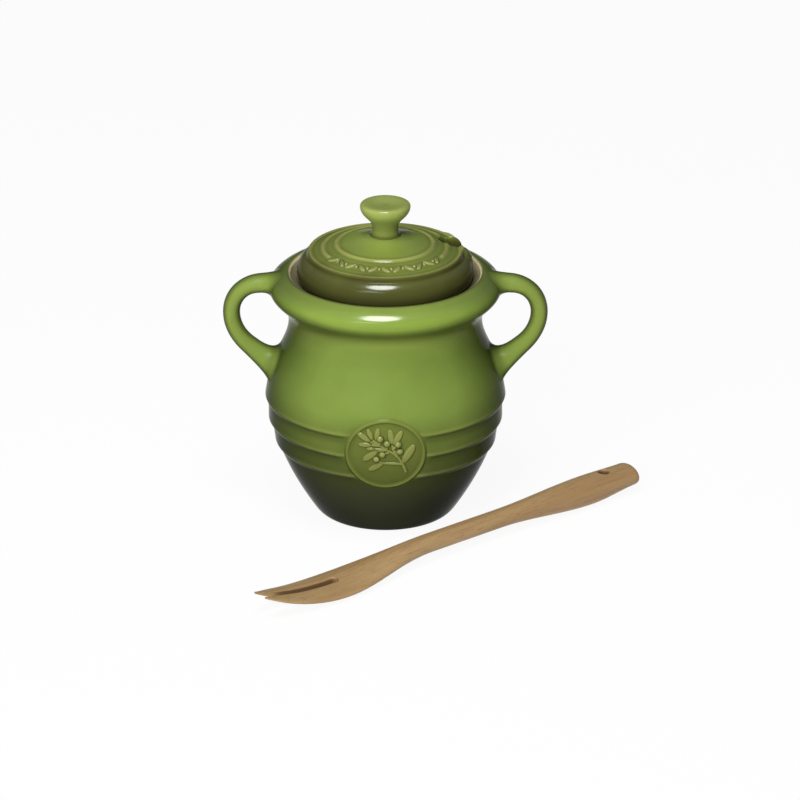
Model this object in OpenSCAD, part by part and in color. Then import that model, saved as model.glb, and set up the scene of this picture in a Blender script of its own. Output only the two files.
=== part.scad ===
// Olive jar: a glazed stoneware jar with two ears, a lift-off lid and a beech fork.
// Millimetres, +Z up. The origin is the middle of the foot, the ears lie along X
// and the medallion faces -Y.

/* [Jar] */
// Diameter of the flat foot
foot_d = 58; // [50:1:64]
// Height of the widest point of the belly
belly_h = 61; // [56:1:70]
// Diameter at the widest point of the belly
belly_d = 112; // [106:1:118]
// Height from the widest point of the belly up to the narrowest point of the neck
shoulder_h = 34; // [30:1:40]
// Diameter at the narrowest point of the neck
neck_d = 90; // [86:1:94]
// Height from the neck up to the widest point of the rolled collar
collar_h = 16; // [14:0.5:20]
// Diameter of the rolled collar
collar_d = 108; // [104:1:114]
// Height from the widest point of the collar up to the crest of the rim
rim_h = 7.1; // [6.5:0.1:9]
// Diameter of the mouth inside the rim
mouth_d = 88; // [84:1:92]
// Thickness of the wall
wall_t = 5; // [4:0.5:6]
// Thickness of the floor
floor_t = 6; // [5:0.5:9]

/* [Bands] */
// Number of rolled bands round the belly
band_count = 3; // [1:1:3]
// Height of one band
band_pitch = 11; // [9:0.5:12]
// How far a band stands out from its groove
band_rise = 0.9; // [0.4:0.1:1.4]
// Depth of the top groove below the widest point of the belly
groove_drop = 5.7; // [5:0.1:8]

/* [Lid seat] */
// Depth of the ledge below the crest of the rim
seat_depth = 4.1; // [3.5:0.1:6]
// Width of the ledge that the lid rests on
seat_w = 7.6; // [7:0.1:8.4]

/* [Ears] */
// Width over both ears
ear_span = 151; // [144:1:160]
// Thickness of an ear, across its loop
ear_t = 8; // [6.5:0.5:9]
// Width of an ear, along Y
ear_w = 11; // [9:0.5:13]
// Height of an ear's lower root above the widest point of the belly
ear_root_rise = 9.5; // [7:0.5:12]
// How far an ear swells sideways where it joins the jar
ear_swell = 1; // [0.5:0.1:2]
// How far it swells at its lower root, on the inside of the loop
ear_fillet = 5; // [2:0.1:6]

/* [Medallion] */
// Diameter of the medallion
medallion_d = 37; // [32:1:40]
// Depth of the medallion's middle below the widest point of the belly
medallion_drop = 13; // [10:0.5:15]
// Thickness of the medallion's pad
medallion_t = 2; // [1.5:0.1:2.5]
// Width of the raised border
border_w = 1.8; // [1:0.1:3]
// Height of the raised border
border_h = 0.9; // [0.5:0.1:1.4]
// Height of the sprig's stem and leaves
sprig_h = 0.9; // [0.5:0.1:1.4]
// Diameter of an olive of the sprig
olive_d = 3.6; // [2.8:0.1:4.2]
// How far the sprig lies above the medallion's middle
sprig_lift = 1.4; // [0:0.2:1.8]

/* [Lid] */
// Height from the ledge up to the widest point of the rolled edge
edge_h = 7; // [6:0.5:9]
// Height from the widest point of the rolled edge up to the outer ring
plate_h = 7; // [6:0.5:9]
// How far the outer ring lies in from the rolled edge
edge_roll = 5.2; // [4.6:0.1:6]
// Rise of the dome for each millimetre towards its middle
dome_slope = 0.29; // [0.18:0.01:0.32]
// Distance from one raised ring to the next
ring_step = 6.3; // [5.5:0.1:7]
// Height of a raised ring
ring_h = 0.7; // [0.4:0.1:1]
// Width of a raised ring
ring_w = 3; // [2:0.1:3.6]
// Number of leaves in the garland
garland_n = 11; // [5:2:11]
// Thickness of the lid
lid_t = 4.5; // [3.5:0.5:6]
// Depth of the locating flange below the ledge
flange_h = 7; // [4:0.5:9]
// Thickness of the locating flange
flange_t = 4.2; // [3.5:0.1:5]
// Width of the notch for the fork
notch_w = 12; // [10:0.5:13]
// How far the notch reaches in from the rolled edge
notch_l = 14; // [12:0.5:16]
// Radius of the notch's rounded lips
notch_lip = 2; // [1:0.5:4]
// Turn of the notch from +X towards +Y, in degrees
notch_turn = 18; // [0:1:40]

/* [Knob] */
// Diameter of the knob
knob_d = 23.4; // [20:0.2:28]
// Height of the knob above the lid
knob_h = 15.4; // [14:0.2:20]
// Diameter of the knob's stem
stem_d = 12; // [10:0.2:14]
// Depth of the dish in the knob's top
dish_t = 1; // [0.4:0.1:2]

/* [Fork] */
// Length of the fork
fork_l = 226; // [210:1:240]
// Width of the grip
grip_w = 17; // [14:0.5:22]
// Thickness of the grip
grip_t = 13.5; // [10:0.5:15]
// Width of the waist
waist_w = 10.4; // [8:0.2:12]
// Thickness of the waist
waist_t = 8.4; // [6:0.2:10]
// Length of the straight waist
waist_l = 42; // [20:1:50]
// Height of the waist's underside above the table
waist_rise = 3.6; // [2:0.2:8]
// Width of the head
head_w = 26; // [22:0.5:30]
// Length of the head from its widest point to the tips
head_l = 42; // [36:1:50]
// Thickness of the head
head_t = 6; // [4.5:0.5:8]
// Height of the tips' underside above the table
tip_rise = 10; // [5:0.5:14]
// Width over both tips
tip_w = 13.5; // [10:0.5:15]
// Thickness at a tip
tip_t = 1.7; // [1.2:0.1:3]
// Length of the slot between the tines
slot_l = 45; // [35:1:55]
// Width of the slot between the tines
slot_w = 4; // [3:0.5:5]
// Diameter of the hanging hole
hang_d = 5; // [3:0.5:6]
// Distance of the hanging hole from the end of the grip
hang_in = 18; // [14:1:22]
// Gap in plan between the widest point of the belly and the fork's middle line
fork_gap = 4; // [3:1:30]
// Turn of the fork from the X axis, in degrees
fork_turn = 40; // [30:0.5:50]
// How far the grip reaches past the point nearest the jar
fork_lead = 102; // [80:1:130]

/* [Fits] */
// Gap of a luted joint
slip = 0.1; // [0.05:0.05:0.2]
// Gap between the lid's edge and the mouth, in radius
mouth_gap = 3.7; // [3:0.1:4.4]
// Gap between the lid's flange and the throat, in radius
flange_gap = 0.6; // [0.4:0.1:1]
// Gap between the lid and the ledge
seat_gap = 0.1; // [0.05:0.05:0.3]

/* [Hidden] */
$fn = 96;

green = [0.42, 0.52, 0.18];
olive_green = [0.38, 0.42, 0.16];
pale_olive = [0.58, 0.58, 0.34];
beech = [0.70, 0.56, 0.36];

// Heights of the jar, from the foot up
belly_z = belly_h;
neck_z = belly_z + shoulder_h;
collar_z = neck_z + collar_h;
rim_z = collar_z + rim_h;
seat_z = rim_z - seat_depth;

// Radii of the jar
foot_r = foot_d / 2;
belly_r = belly_d / 2 - band_rise;
neck_r = neck_d / 2;
collar_r = collar_d / 2;
mouth_r = mouth_d / 2;
throat_r = mouth_r - seat_w;
crest_r = mouth_r + 3;

// Rounded edge of the foot, out and up
foot_flare = 5;
foot_rise = 3.4;
// Rounding of the lower and the upper edge of a band
band_edge = 2;
band_fade = 4;
// Rounding where the inside wall meets the floor
floor_round = 6;
// Height of the throat below the ledge
throat_h = 5;

// How far the turned curves are pulled along their end directions
taper_pull_out = 12.2;
taper_pull_up = 18;
belly_pull_down = 19;
belly_pull_up = 14;
neck_pull_down = 12;
neck_pull_up = 9;
collar_pull_down = 5.5;
collar_pull_up = 3;
crest_pull_out = 4;
crest_pull_down = 1.7;

// Smooth step from 0 to 1
function ease(t) = let (c = max(0, min(1, t))) c * c * (3 - 2 * c);
function mix(a, b, t) = a + (b - a) * t;
function reverse(list) = [for (i = [len(list) - 1 : -1 : 0]) list[i]];
function rest_of(list) = [for (i = [1 : len(list) - 1]) list[i]];

// Points of a cubic curve with two end points and two pull points
function curve(a, b, c, d, n) = [
    for (i = [0 : n]) let (t = i / n, s = 1 - t)
        s * s * s * a + 3 * s * s * t * b + 3 * s * t * t * c + t * t * t * d
];

// Points of an open line moved sideways by d, to its left
function sideways(p, d) = [
    for (i = [0 : len(p) - 1])
        let (a = p[max(0, i - 1)], b = p[min(len(p) - 1, i + 1)], along = (b - a) / norm(b - a))
            p[i] + d * [-along[1], along[0]]
];

// Turned outline of the jar without its bands, as [radius, height], from the foot to the rim
foot_line = curve([foot_r, 0], [foot_r + foot_flare / 2, 0],
                  [foot_r + foot_flare - 1.2, foot_rise - 1.6], [foot_r + foot_flare, foot_rise], 6);
lower_line = curve([foot_r + foot_flare, foot_rise],
                   [foot_r + foot_flare + taper_pull_out, foot_rise + taper_pull_up],
                   [belly_r, belly_z - belly_pull_down], [belly_r, belly_z], 84);
shoulder_line = curve([belly_r, belly_z], [belly_r, belly_z + belly_pull_up],
                      [neck_r, neck_z - neck_pull_down], [neck_r, neck_z], 28);
collar_line = curve([neck_r, neck_z], [neck_r, neck_z + neck_pull_up],
                    [collar_r, collar_z - collar_pull_down], [collar_r, collar_z], 14);
rim_line = curve([collar_r, collar_z], [collar_r, collar_z + collar_pull_up],
                 [crest_r + crest_pull_out, rim_z - crest_pull_down], [crest_r, rim_z], 10);
belly_line = concat(lower_line, rest_of(shoulder_line));

// Radius of the plain outline at a height
plain_table = [for (p = concat(belly_line, rest_of(collar_line), rest_of(rim_line))) [p[1], p[0]]];
function plain_r(z) = lookup(z, plain_table);

// Height of groove i, counted down from the belly
function groove_z(i) = belly_z - groove_drop - i * band_pitch;

// How far the bands stand out at a height
function roll(z) = band_rise * max([
    for (i = [0 : band_count - 1]) let (up = z - groove_z(i))
        up > 0 && up < band_pitch ? ease(up / band_edge) * ease((band_pitch - up) / band_fade) : 0
]);

outer_line = concat(foot_line, rest_of([for (p = belly_line) p + [roll(p[1]), 0]]),
                    rest_of(collar_line), rest_of(rim_line));
outer_table = [for (p = outer_line) [p[1], p[0]]];
function outer_r(z) = lookup(z, outer_table);

// Inside of the jar, from the rim down to the floor
lip_line = curve([crest_r, rim_z], [crest_r - 1.4, rim_z + 0.6],
                 [mouth_r, rim_z + 0.2], [mouth_r, rim_z - 1.6], 6);
inside_wall = [for (p = sideways(belly_line, wall_t)) if (p[1] > floor_t + floor_round) p];
floor_corner = inside_wall[0];
floor_line = curve(floor_corner, floor_corner - [1.8, floor_round * 0.6],
                   [floor_corner[0] - 5, floor_t], [floor_corner[0] - 10, floor_t], 6);
inner_line = concat(rest_of(lip_line),
                    [[mouth_r, seat_z], [throat_r, seat_z], [throat_r, seat_z - throat_h]],
                    reverse(inside_wall), rest_of(floor_line));

// Medallion: its middle, and the slope of the belly there
medallion_r = medallion_d / 2;
medallion_z = belly_z - medallion_drop;
medallion_out = plain_r(medallion_z);
medallion_tilt = atan((plain_r(medallion_z + medallion_r / 4) - plain_r(medallion_z - medallion_r / 4))
                      / (medallion_r / 2));

// Ears: the middle line of one ear in the XZ plane
ear_reach = ear_span / 2 - ear_t / 2;
ear_top_z = collar_z + 0.6;
ear_out_z = neck_z + 3;
ear_root_z = belly_z + ear_root_rise;
ear_rings = 14;
ear_sides = 20;
ear_line = concat(
    curve([collar_r + 2, ear_top_z], [ear_reach - 6, ear_top_z + 1.6],
          [ear_reach, ear_out_z + 8], [ear_reach, ear_out_z], ear_rings),
    rest_of(curve([ear_reach, ear_out_z], [ear_reach, ear_out_z - 9.5],
                  [ear_reach - 8, ear_root_z + 11], [plain_r(ear_root_z) + 4, ear_root_z + 3.4], ear_rings)));

// Lid: radii and heights
edge_r = mouth_r - mouth_gap;
lid_z = seat_z + seat_gap;
edge_z = lid_z + edge_h;
plate_z = edge_z + plate_h;
plate_r = edge_r - edge_roll;
flange_r = throat_r - flange_gap;
knob_pad_r = stem_d / 2 + 0.4;
function dome_z(r) = plate_z + dome_slope * (plate_r - max(r, knob_pad_r));
function ring_rise(r) = ring_h * max([
    for (i = [0 : 2]) let (t = (r - plate_r + i * ring_step) / (ring_w / 2))
        abs(t) < 1 ? pow(cos(90 * t), 2) : 0
]);
knob_z = dome_z(0) + slip;

// Garland: it takes the place of the middle ring at the front of the lid
garland_r = plate_r - ring_step;
garland_step = 11;
garland_half = garland_step * (garland_n - 1) / 2 + 8;
ring_foot = 0.02;
function over_dome(from, to, low, high) =
    [for (p = [[from, low], [to, low], [to, high], [from, high]]) [p[0], dome_z(p[0]) + p[1]]];

// Fork: places along its length, counted from the end of the grip
grip_at = 29;
waist_from = 84;
waist_to = waist_from + waist_l;
head_at = fork_l - head_l;
end_round = 5;
end_close = 0.9;
end_rise = 2.8;
end_less = 1.2;
fork_rings = 28;
fork_sides = 20;
grip_places = concat([for (k = [0, 0.1, 0.3, 0.6]) k * end_round],
                     [for (i = [0 : fork_rings]) mix(end_round, waist_to, i / fork_rings)]);
head_places = [for (i = [0 : fork_rings]) mix(waist_to + slip, fork_l, i / fork_rings)];

// A size that runs from the grip to the waist, the head and the tips
function fork_size(u, end, grip, waist, head, tip) =
    u < grip_at ? mix(end, grip, ease(u / grip_at)) :
    u < waist_to ? mix(grip, waist, ease((u - grip_at) / (waist_from - grip_at))) :
    u < head_at ? mix(waist, head, ease((u - waist_to) / (head_at - waist_to))) :
    mix(tip, head, cos(90 * (u - head_at) / (fork_l - head_at)));
function fork_end(u) = u < end_round ? sqrt(1 - pow((1 - u / end_round) * end_close, 2)) : 1;
function fork_w(u) = fork_end(u) * fork_size(u, grip_w - end_less, grip_w, waist_w, head_w, tip_w);
function fork_full_t(u) = fork_size(u, grip_t - 3 * end_less, grip_t, waist_t, head_t, tip_t);
function fork_t(u) = fork_end(u) * fork_full_t(u);
function fork_under(u) =
    u < head_at ? fork_size(u, end_rise, 0, waist_rise, 0, 0) :
    tip_rise * pow((u - head_at) / (fork_l - head_at), 2);
function fork_mid(u) = fork_under(u) + fork_full_t(u) / 2;

// Fork's place: it lies on the table beside the jar, with the tips towards -X and -Y
module beside_jar() {
    rotate([0, 0, fork_turn]) translate([fork_lead, -(belly_d / 2 + fork_gap), 0])
        rotate([0, 0, 180]) children();
}

// Solid of rings of points, with a lid of triangles on each end
module loft(rings) {
    n = len(rings[0]);
    m = len(rings);
    points = [for (r = rings) for (p = r) p];
    sides = [
        for (i = [0 : m - 2], j = [0 : n - 1])
            let (a = i * n + j, b = i * n + (j + 1) % n)
                each [[a, a + n, b], [b, a + n, b + n]]
    ];
    middle = len(points);
    first = [for (j = [0 : n - 1]) [j, (j + 1) % n, middle]];
    last = [for (j = [0 : n - 1]) [(m - 1) * n + (j + 1) % n, (m - 1) * n + j, middle + 1]];
    polyhedron(concat(points, [centre(rings[0]), centre(rings[m - 1])]), concat(sides, first, last));
}
function centre(ring, i = 0) = i == len(ring) ? [0, 0, 0] : ring[i] / len(ring) + centre(ring, i + 1);

module turned(line) {
    rotate_extrude() polygon(line);
}

// Shell that follows the plain outline of the belly round the medallion
module belly_shell(low, high) {
    reach = medallion_r + 3;
    line = [for (i = [0 : 12]) let (z = medallion_z - reach + i * reach / 6) [plain_r(z), z]];
    turned(concat([for (p = line) p + [high, 0]], reverse([for (p = line) p + [low, 0]])));
}

// Places children in the medallion's plane, with +Z out of the jar
module on_belly() {
    translate([0, -medallion_out, medallion_z]) rotate([90 + medallion_tilt, 0, 0]) children();
}

module disc_cut(r) {
    depth = medallion_r * 1.2;
    cylinder(r = r, h = depth, center = true);
}

// Jar: turned shell with a pocket for the medallion
module jar_body() {
    color(green) difference() {
        turned(concat([[0, 0]], outer_line, inner_line, [[0, floor_t]]));
        intersection() {
            on_belly() disc_cut(medallion_r + slip);
            belly_shell(-medallion_t - slip, wall_t);
        }
    }
}

// Where a straight line from p along d meets the jar, by halving
function meet(p, d, near, far, k = 18) =
    let (half = (near + far) / 2, q = p + half * d)
        k == 0 ? q :
        norm([q[0], q[1]]) > outer_r(q[2]) + slip ?
            meet(p, d, half, far, k - 1) : meet(p, d, near, half, k - 1);

// Ring of an ear round point i of its middle line, shrunk to a share of its size
function ear_ring(i, share = 1) =
    let (n = len(ear_line), a = ear_line[max(0, i - 1)], b = ear_line[min(n - 1, i + 1)],
         along = (b - a) / norm(b - a),
         at_top = pow(max(0, 1 - i / 4), 2), at_root = pow(max(0, 1 - (n - 1 - i) / 9), 2))
        [for (j = [0 : ear_sides - 1])
            let (s = 360 * j / ear_sides, inside = cos(s) < 0,
                 swell = ear_swell * at_top / 2 + (inside ? ear_fillet * at_root : 0),
                 across = share * (ear_t / 2 + swell) * cos(s),
                 out = share * (ear_w / 2 + ear_swell * (at_top + at_root)) * sin(s))
                [ear_line[i][0] - along[1] * across, out, ear_line[i][1] + along[0] * across]];

// End of an ear, run on to the jar's outline
function ear_foot(i, share) =
    let (j = i == 0 ? 1 : i - 1, d = ear_line[i] - ear_line[j], run = [d[0], 0, d[1]] / norm(d))
        [for (p = ear_ring(i, share)) meet(p, run, -8, 24)];

module ear() {
    last = len(ear_line) - 1;
    loft(concat([for (share = [0.33, 0.67, 1]) ear_foot(0, share)],
                [for (i = [0 : last]) ear_ring(i)],
                [for (share = [1, 0.67, 0.33]) ear_foot(last, share)]));
}

module right_handle() {
    color(green) ear();
}

module left_handle() {
    color(green) mirror([1, 0, 0]) ear();
}

// Medallion: pad with a raised border
module medallion() {
    color(olive_green) union() {
        intersection() {
            on_belly() disc_cut(medallion_r);
            belly_shell(-medallion_t, 0);
        }
        intersection() {
            on_belly() difference() {
                disc_cut(medallion_r);
                disc_cut(medallion_r - border_w);
            }
            belly_shell(-medallion_t / 2, border_h);
        }
    }
}

// Sprig: places are shares of the medallion's inner radius, right and up from its middle
sprig_r = medallion_r - border_w;
stem_w = 1.3;
// Leaves as [foot, tip]
leaves = [
    [[-0.42, 0.36], [-0.78, 0.62]], [[-0.36, 0.42], [-0.50, 0.76]], [[-0.26, 0.40], [-0.20, 0.80]],
    [[0.18, 0.28], [0.12, 0.76]], [[0.22, 0.26], [0.46, 0.70]], [[-0.38, 0.26], [-0.76, 0.26]],
    [[-0.30, 0.14], [-0.54, 0.14]], [[-0.22, 0.08], [-0.64, -0.28]], [[-0.06, -0.32], [-0.48, -0.60]],
    [[0.46, -0.36], [0.80, 0.24]]
];
// Olives, and the twigs that carry leaves and olives, as lists of points
olives = [[-0.15, 0.46], [0.04, 0.31], [0.35, 0.28], [0.40, 0.05], [-0.09, -0.04], [-0.26, -0.20]];
twigs = [
    [[0.56, -0.64], [0.46, -0.36], [0.30, -0.08], [0.02, 0.12], [-0.18, 0.26], [-0.42, 0.36]],
    [[0.46, -0.36], [0.20, -0.34], [-0.06, -0.32], [-0.22, -0.24]],
    [[0.30, -0.08], [0.22, 0.10], [0.18, 0.28]],
    [[0.24, 0.04], [0.40, 0.05]], [[0.20, 0.14], [0.35, 0.28]], [[0.02, 0.12], [0.04, 0.31]],
    [[-0.18, 0.26], [-0.15, 0.46]], [[0.02, 0.12], [-0.22, 0.08]], [[0.10, 0.04], [-0.09, -0.04]],
    [[-0.18, 0.26], [-0.38, 0.26]], [[0.02, 0.12], [-0.30, 0.14]], [[-0.18, 0.26], [-0.26, 0.40]],
    [[-0.18, 0.26], [-0.36, 0.42]]
];

// Point at a height above the medallion's field, from a place in its plane
function on_field(place, high) =
    let (z = medallion_z + (place[1] + sprig_lift) * cos(medallion_tilt), r = plain_r(z) + slip + high)
        [place[0], -sqrt(r * r - place[0] * place[0]), z];

// Half-round section across a place, for a bar that runs along a direction
function bar_ring(place, along, half, high) =
    [for (s = [180 : -30 : 0]) on_field(place + half * cos(s) * [along[1], -along[0]], high * sin(s))];

function leaf_rings(a, b) =
    let (along = (b - a) / norm(b - a), half = norm(b - a) * 0.2)
        [for (i = [0 : 8]) let (full = max(0.12, pow(sin(180 * i / 8), 0.8)))
            bar_ring(mix(a, b, i / 8), along, half * full, sprig_h * mix(0.4, 1, full))];

function twig_rings(line) =
    [for (i = [0 : len(line) - 1])
        let (way = line[min(len(line) - 1, i + 1)] - line[max(0, i - 1)])
            bar_ring(line[i], way / norm(way), stem_w / 2, sprig_h * 0.9)];

function olive_rings(place) =
    let (r = olive_d / 2)
        [for (up = [0 : 16 : 80])
            [for (s = [0 : 30 : 330]) on_field(place + r * cos(up) * [cos(s), sin(s)], r * sin(up))]];

module olive_sprig() {
    color(pale_olive) union() {
        for (f = leaves) loft(leaf_rings(f[0] * sprig_r, f[1] * sprig_r));
        for (t = twigs) loft(twig_rings(t * sprig_r));
        for (o = olives) loft(olive_rings(o * sprig_r));
    }
}

// Lid: dome with raised rings, rolled edge, flange and an open notch
module lid() {
    top = [for (i = [0 : 90]) let (r = plate_r * i / 90) [r, dome_z(r) + ring_rise(r)]];
    cove = curve([plate_r, plate_z + ring_h], [plate_r + 1.1, plate_z + 0.5],
                 [plate_r + 0.9, plate_z - 0.8], [plate_r + 1.7, plate_z - 1.3], 6);
    edge = curve([plate_r + 1.7, plate_z - 1.3], [plate_r + 3.5, plate_z - 1.8],
                 [edge_r, edge_z + 4.5], [edge_r, edge_z], 12);
    under = curve([edge_r, edge_z], [edge_r, edge_z - 3.4],
                  [edge_r - 0.6, lid_z + 1], [edge_r - 1.8, lid_z], 6);
    inner_r = flange_r - flange_t;
    hollow = curve([inner_r, lid_z + 2], [inner_r, plate_z - lid_t],
                   [inner_r, dome_z(inner_r) - lid_t], [inner_r - 6, dome_z(inner_r - 6) - lid_t], 8);
    color(green) difference() {
        turned(concat(top, rest_of(cove), rest_of(edge), rest_of(under),
                      [[flange_r, lid_z], [flange_r, lid_z - flange_h], [inner_r, lid_z - flange_h]],
                      hollow, [[knob_pad_r, dome_z(0) - lid_t], [0, dome_z(0) - lid_t]]));
        rotate([0, 0, notch_turn]) translate([0, 0, lid_z - flange_h - 1])
            linear_extrude(flange_h + edge_h + plate_h + 9) notch();
        rotate([0, 0, -90 - garland_half]) rotate_extrude(angle = 2 * garland_half)
            polygon(over_dome(garland_r - ring_w, garland_r + ring_w, ring_foot, 2 * ring_h));
    }
}

// Notch in plan, along +X: a round end, straight sides and rounded lips
module notch() {
    inner = edge_r - notch_l + notch_w / 2;
    mouth = sqrt(pow(edge_r, 2) - pow(notch_w / 2 + notch_lip, 2)) - notch_lip;
    out = edge_r + 2;
    translate([inner, 0]) circle(d = notch_w);
    translate([inner, -notch_w / 2]) square([out - inner, notch_w]);
    difference() {
        translate([mouth, -notch_w / 2 - notch_lip]) square([out - mouth, notch_w + 2 * notch_lip]);
        for (side = [-1, 1]) translate([mouth, side * (notch_w / 2 + notch_lip)]) circle(r = notch_lip);
    }
}

// Knob: stem that flares to a dished top
module lid_knob() {
    stem_r = stem_d / 2;
    knob_r = knob_d / 2;
    top_z = knob_z + knob_h;
    foot = curve([knob_pad_r, knob_z], [stem_r + 0.2, knob_z + 0.5],
                 [stem_r, knob_z + 1.6], [stem_r, knob_z + 3.4], 6);
    flare = curve([stem_r, knob_z + 3.4], [stem_r + 0.2, knob_z + 8.2],
                  [knob_r - 0.2, top_z - 6.4], [knob_r, top_z - 1.8], 12);
    round = curve([knob_r, top_z - 1.8], [knob_r, top_z - 0.4],
                  [knob_r - 1, top_z], [knob_r - 2.4, top_z], 6);
    dish = curve([knob_r - 2.4, top_z], [knob_r - 5, top_z],
                 [knob_r - 7, top_z - dish_t], [0, top_z - dish_t], 8);
    color(green) turned(concat([[0, knob_z]], foot, rest_of(flare), rest_of(round), rest_of(dish)));
}

// Leaf outline along X: two arcs
module leaf(l, width) {
    r = (l * l + width * width) / width / 4;
    intersection() {
        translate([0, r - width / 2]) circle(r);
        translate([0, width / 2 - r]) circle(r);
    }
}

// Garland: leaves and berries in turn
module lid_garland() {
    leaf_l = 5.8;
    leaf_w = 2.6;
    berry_d = 1.4;
    last = (garland_n - 1) / 2;
    color(pale_olive) intersection() {
        translate([0, 0, plate_z - 2]) linear_extrude(2 * ring_step)
            for (i = [-last : last]) rotate(garland_step * i - 90) {
                translate([garland_r, 0]) rotate(i % 2 == 0 ? 45 : 135) leaf(leaf_l, leaf_w);
                if (i < last) rotate(garland_step / 2) translate([garland_r, 0]) circle(d = berry_d);
            }
        turned(over_dome(garland_r - ring_w, garland_r + ring_w, ring_foot + slip, ring_h + slip));
    }
}

// Fork: bent bar of elliptical rings at the given places along its length
module fork_bar(places) {
    loft([
        for (u = places)
            [for (j = [0 : fork_sides - 1]) let (s = 360 * j / fork_sides)
                [u, fork_w(u) / 2 * cos(s), fork_mid(u) + fork_t(u) / 2 * sin(s)]]
    ]);
}

// Grip and waist of the fork, with the hanging hole
module fork_grip() {
    color(beech) beside_jar() difference() {
        fork_bar(grip_places);
        translate([hang_in, 0, -1]) cylinder(d = hang_d, h = grip_t + 6);
    }
}

// Head of the fork, with the slot between its tines
module fork_head() {
    color(beech) beside_jar() difference() {
        fork_bar(head_places);
        translate([fork_l - slot_l + slot_w / 2, 0, -1]) linear_extrude(tip_rise + head_t + 4) {
            circle(d = slot_w);
            translate([0, -slot_w / 2]) square([slot_l, slot_w]);
        }
    }
}

jar_body();
left_handle();
right_handle();
medallion();
olive_sprig();
lid();
lid_knob();
lid_garland();
fork_grip();
fork_head();
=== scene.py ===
"""Looks of a glazed olive jar with a lift-off lid and a beech fork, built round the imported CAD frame.

Sizes are in millimetres and meshes in metres. The jar stands on the origin, its ears lie along X
and its medallion faces -Y.
"""

import logging
import math
from collections.abc import Callable, Sequence
from dataclasses import dataclass, replace
from enum import Enum
from functools import cached_property

import bmesh
import bpy
import numpy as np
from bmesh.types import BMesh, BMFace, BMVert
from mathutils import Matrix, Vector


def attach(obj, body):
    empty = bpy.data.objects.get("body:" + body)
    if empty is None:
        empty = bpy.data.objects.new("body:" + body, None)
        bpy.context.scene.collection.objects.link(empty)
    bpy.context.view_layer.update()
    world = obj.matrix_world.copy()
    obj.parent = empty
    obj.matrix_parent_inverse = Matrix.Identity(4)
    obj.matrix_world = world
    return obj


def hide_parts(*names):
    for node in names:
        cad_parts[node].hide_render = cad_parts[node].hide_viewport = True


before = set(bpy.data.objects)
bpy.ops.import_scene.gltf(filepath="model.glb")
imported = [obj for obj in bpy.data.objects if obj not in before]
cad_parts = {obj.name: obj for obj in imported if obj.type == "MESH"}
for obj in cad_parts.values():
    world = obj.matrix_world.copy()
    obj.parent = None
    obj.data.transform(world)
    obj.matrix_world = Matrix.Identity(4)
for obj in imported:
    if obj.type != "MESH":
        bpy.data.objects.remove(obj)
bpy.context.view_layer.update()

# One millimetre in metres, and the distance below which two points are one
MM = 0.001
TOUCH = 1e-6
LOG = logging.getLogger("olive_jar")

Colour = tuple[float, float, float]
Point = tuple[float, float]
Line = list[Point]
Pulls = tuple[tuple[Point, Point], ...]


class Body(Enum):
    """CAD bodies that pieces ride on."""

    JAR = "jar"
    LID = "lid"
    FORK = "fork"


class Slot(Enum):
    """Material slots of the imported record."""

    GREEN = "green_glaze"
    MEDALLION = "medallion_glaze"
    RELIEF = "relief_glaze"
    BEECH = "beech"


class Side(Enum):
    """Sides of the jar, as the sign of X."""

    LEFT = -1
    RIGHT = 1


class Mark(Enum):
    """Attributes that tell a material where its glaze or wood changes, and where painted shade darkens it."""

    CREST = "crest"
    POOL = "pool"
    BARE = "bare"


@dataclass(frozen=True)
class Marks:
    """How far each mark applies at one point, from 0 to 1."""

    crest: float = 0.0
    pool: float = 0.0
    bare: float = 0.0


def ease(t: float) -> float:
    """Smooth step from 0 to 1."""
    t = min(1.0, max(0.0, t))
    return t * t * (3 - 2 * t)


def mix(a: float, b: float, t: float) -> float:
    """Straight blend from a to b."""
    return a + (b - a) * t


def hump(x: float, middle: float, width: float) -> float:
    """Bell curve of height 1 with the given middle and width."""
    return math.exp(-(((x - middle) / width) ** 2))


def radius(p: Vector) -> float:
    """Distance of a point from the Z axis."""
    return math.hypot(p.x, p.y)


def turns(n: int) -> list[float]:
    """Angles of n even steps round a circle."""
    return [2 * math.pi * k / n for k in range(n)]


def heading(line: Sequence[Vector], i: int) -> Vector:
    """Direction of a line at one of its points."""
    return (line[min(len(line) - 1, i + 1)] - line[max(0, i - 1)]).normalized()


def curve(points: Sequence[Point], pulls: Pulls, steps: Sequence[int]) -> Line:
    """Line of cubic curves, end to end.

    Args:
        points: Ends of the curves in order.
        pulls: For each curve, the offsets of its two pull points from its two ends.
        steps: For each curve, its number of steps.

    Returns:
        The points of the whole line.
    """
    line = [points[0]]
    for start, end, (near, far), n in zip(points, points[1:], pulls, steps):
        first = [p + d for p, d in zip(start, near)]
        last = [p + d for p, d in zip(end, far)]
        for i in range(1, n + 1):
            t = i / n
            s = 1 - t
            line.append(tuple(s**3 * a + 3 * s * s * t * b + 3 * s * t * t * c + t**3 * d
                              for a, b, c, d in zip(start, first, last, end)))
    return line


def srgb(*levels: int) -> Colour:
    """Linear colour of an 8-bit screen colour."""
    shares = [level / 255 for level in levels]
    return tuple(v / 12.92 if v <= 0.04045 else ((v + 0.055) / 1.055) ** 2.4 for v in shares)


def outward(bm: BMesh) -> None:
    """Turn all faces of closed skins outwards."""
    bm.normal_update()
    bmesh.ops.recalc_face_normals(bm, faces=bm.faces)


def cap(bm: BMesh) -> list[BMFace]:
    """Fill every open end and give the new faces."""
    return bmesh.ops.holes_fill(bm, edges=[e for e in bm.edges if e.is_boundary], sides=0)["faces"]


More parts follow.
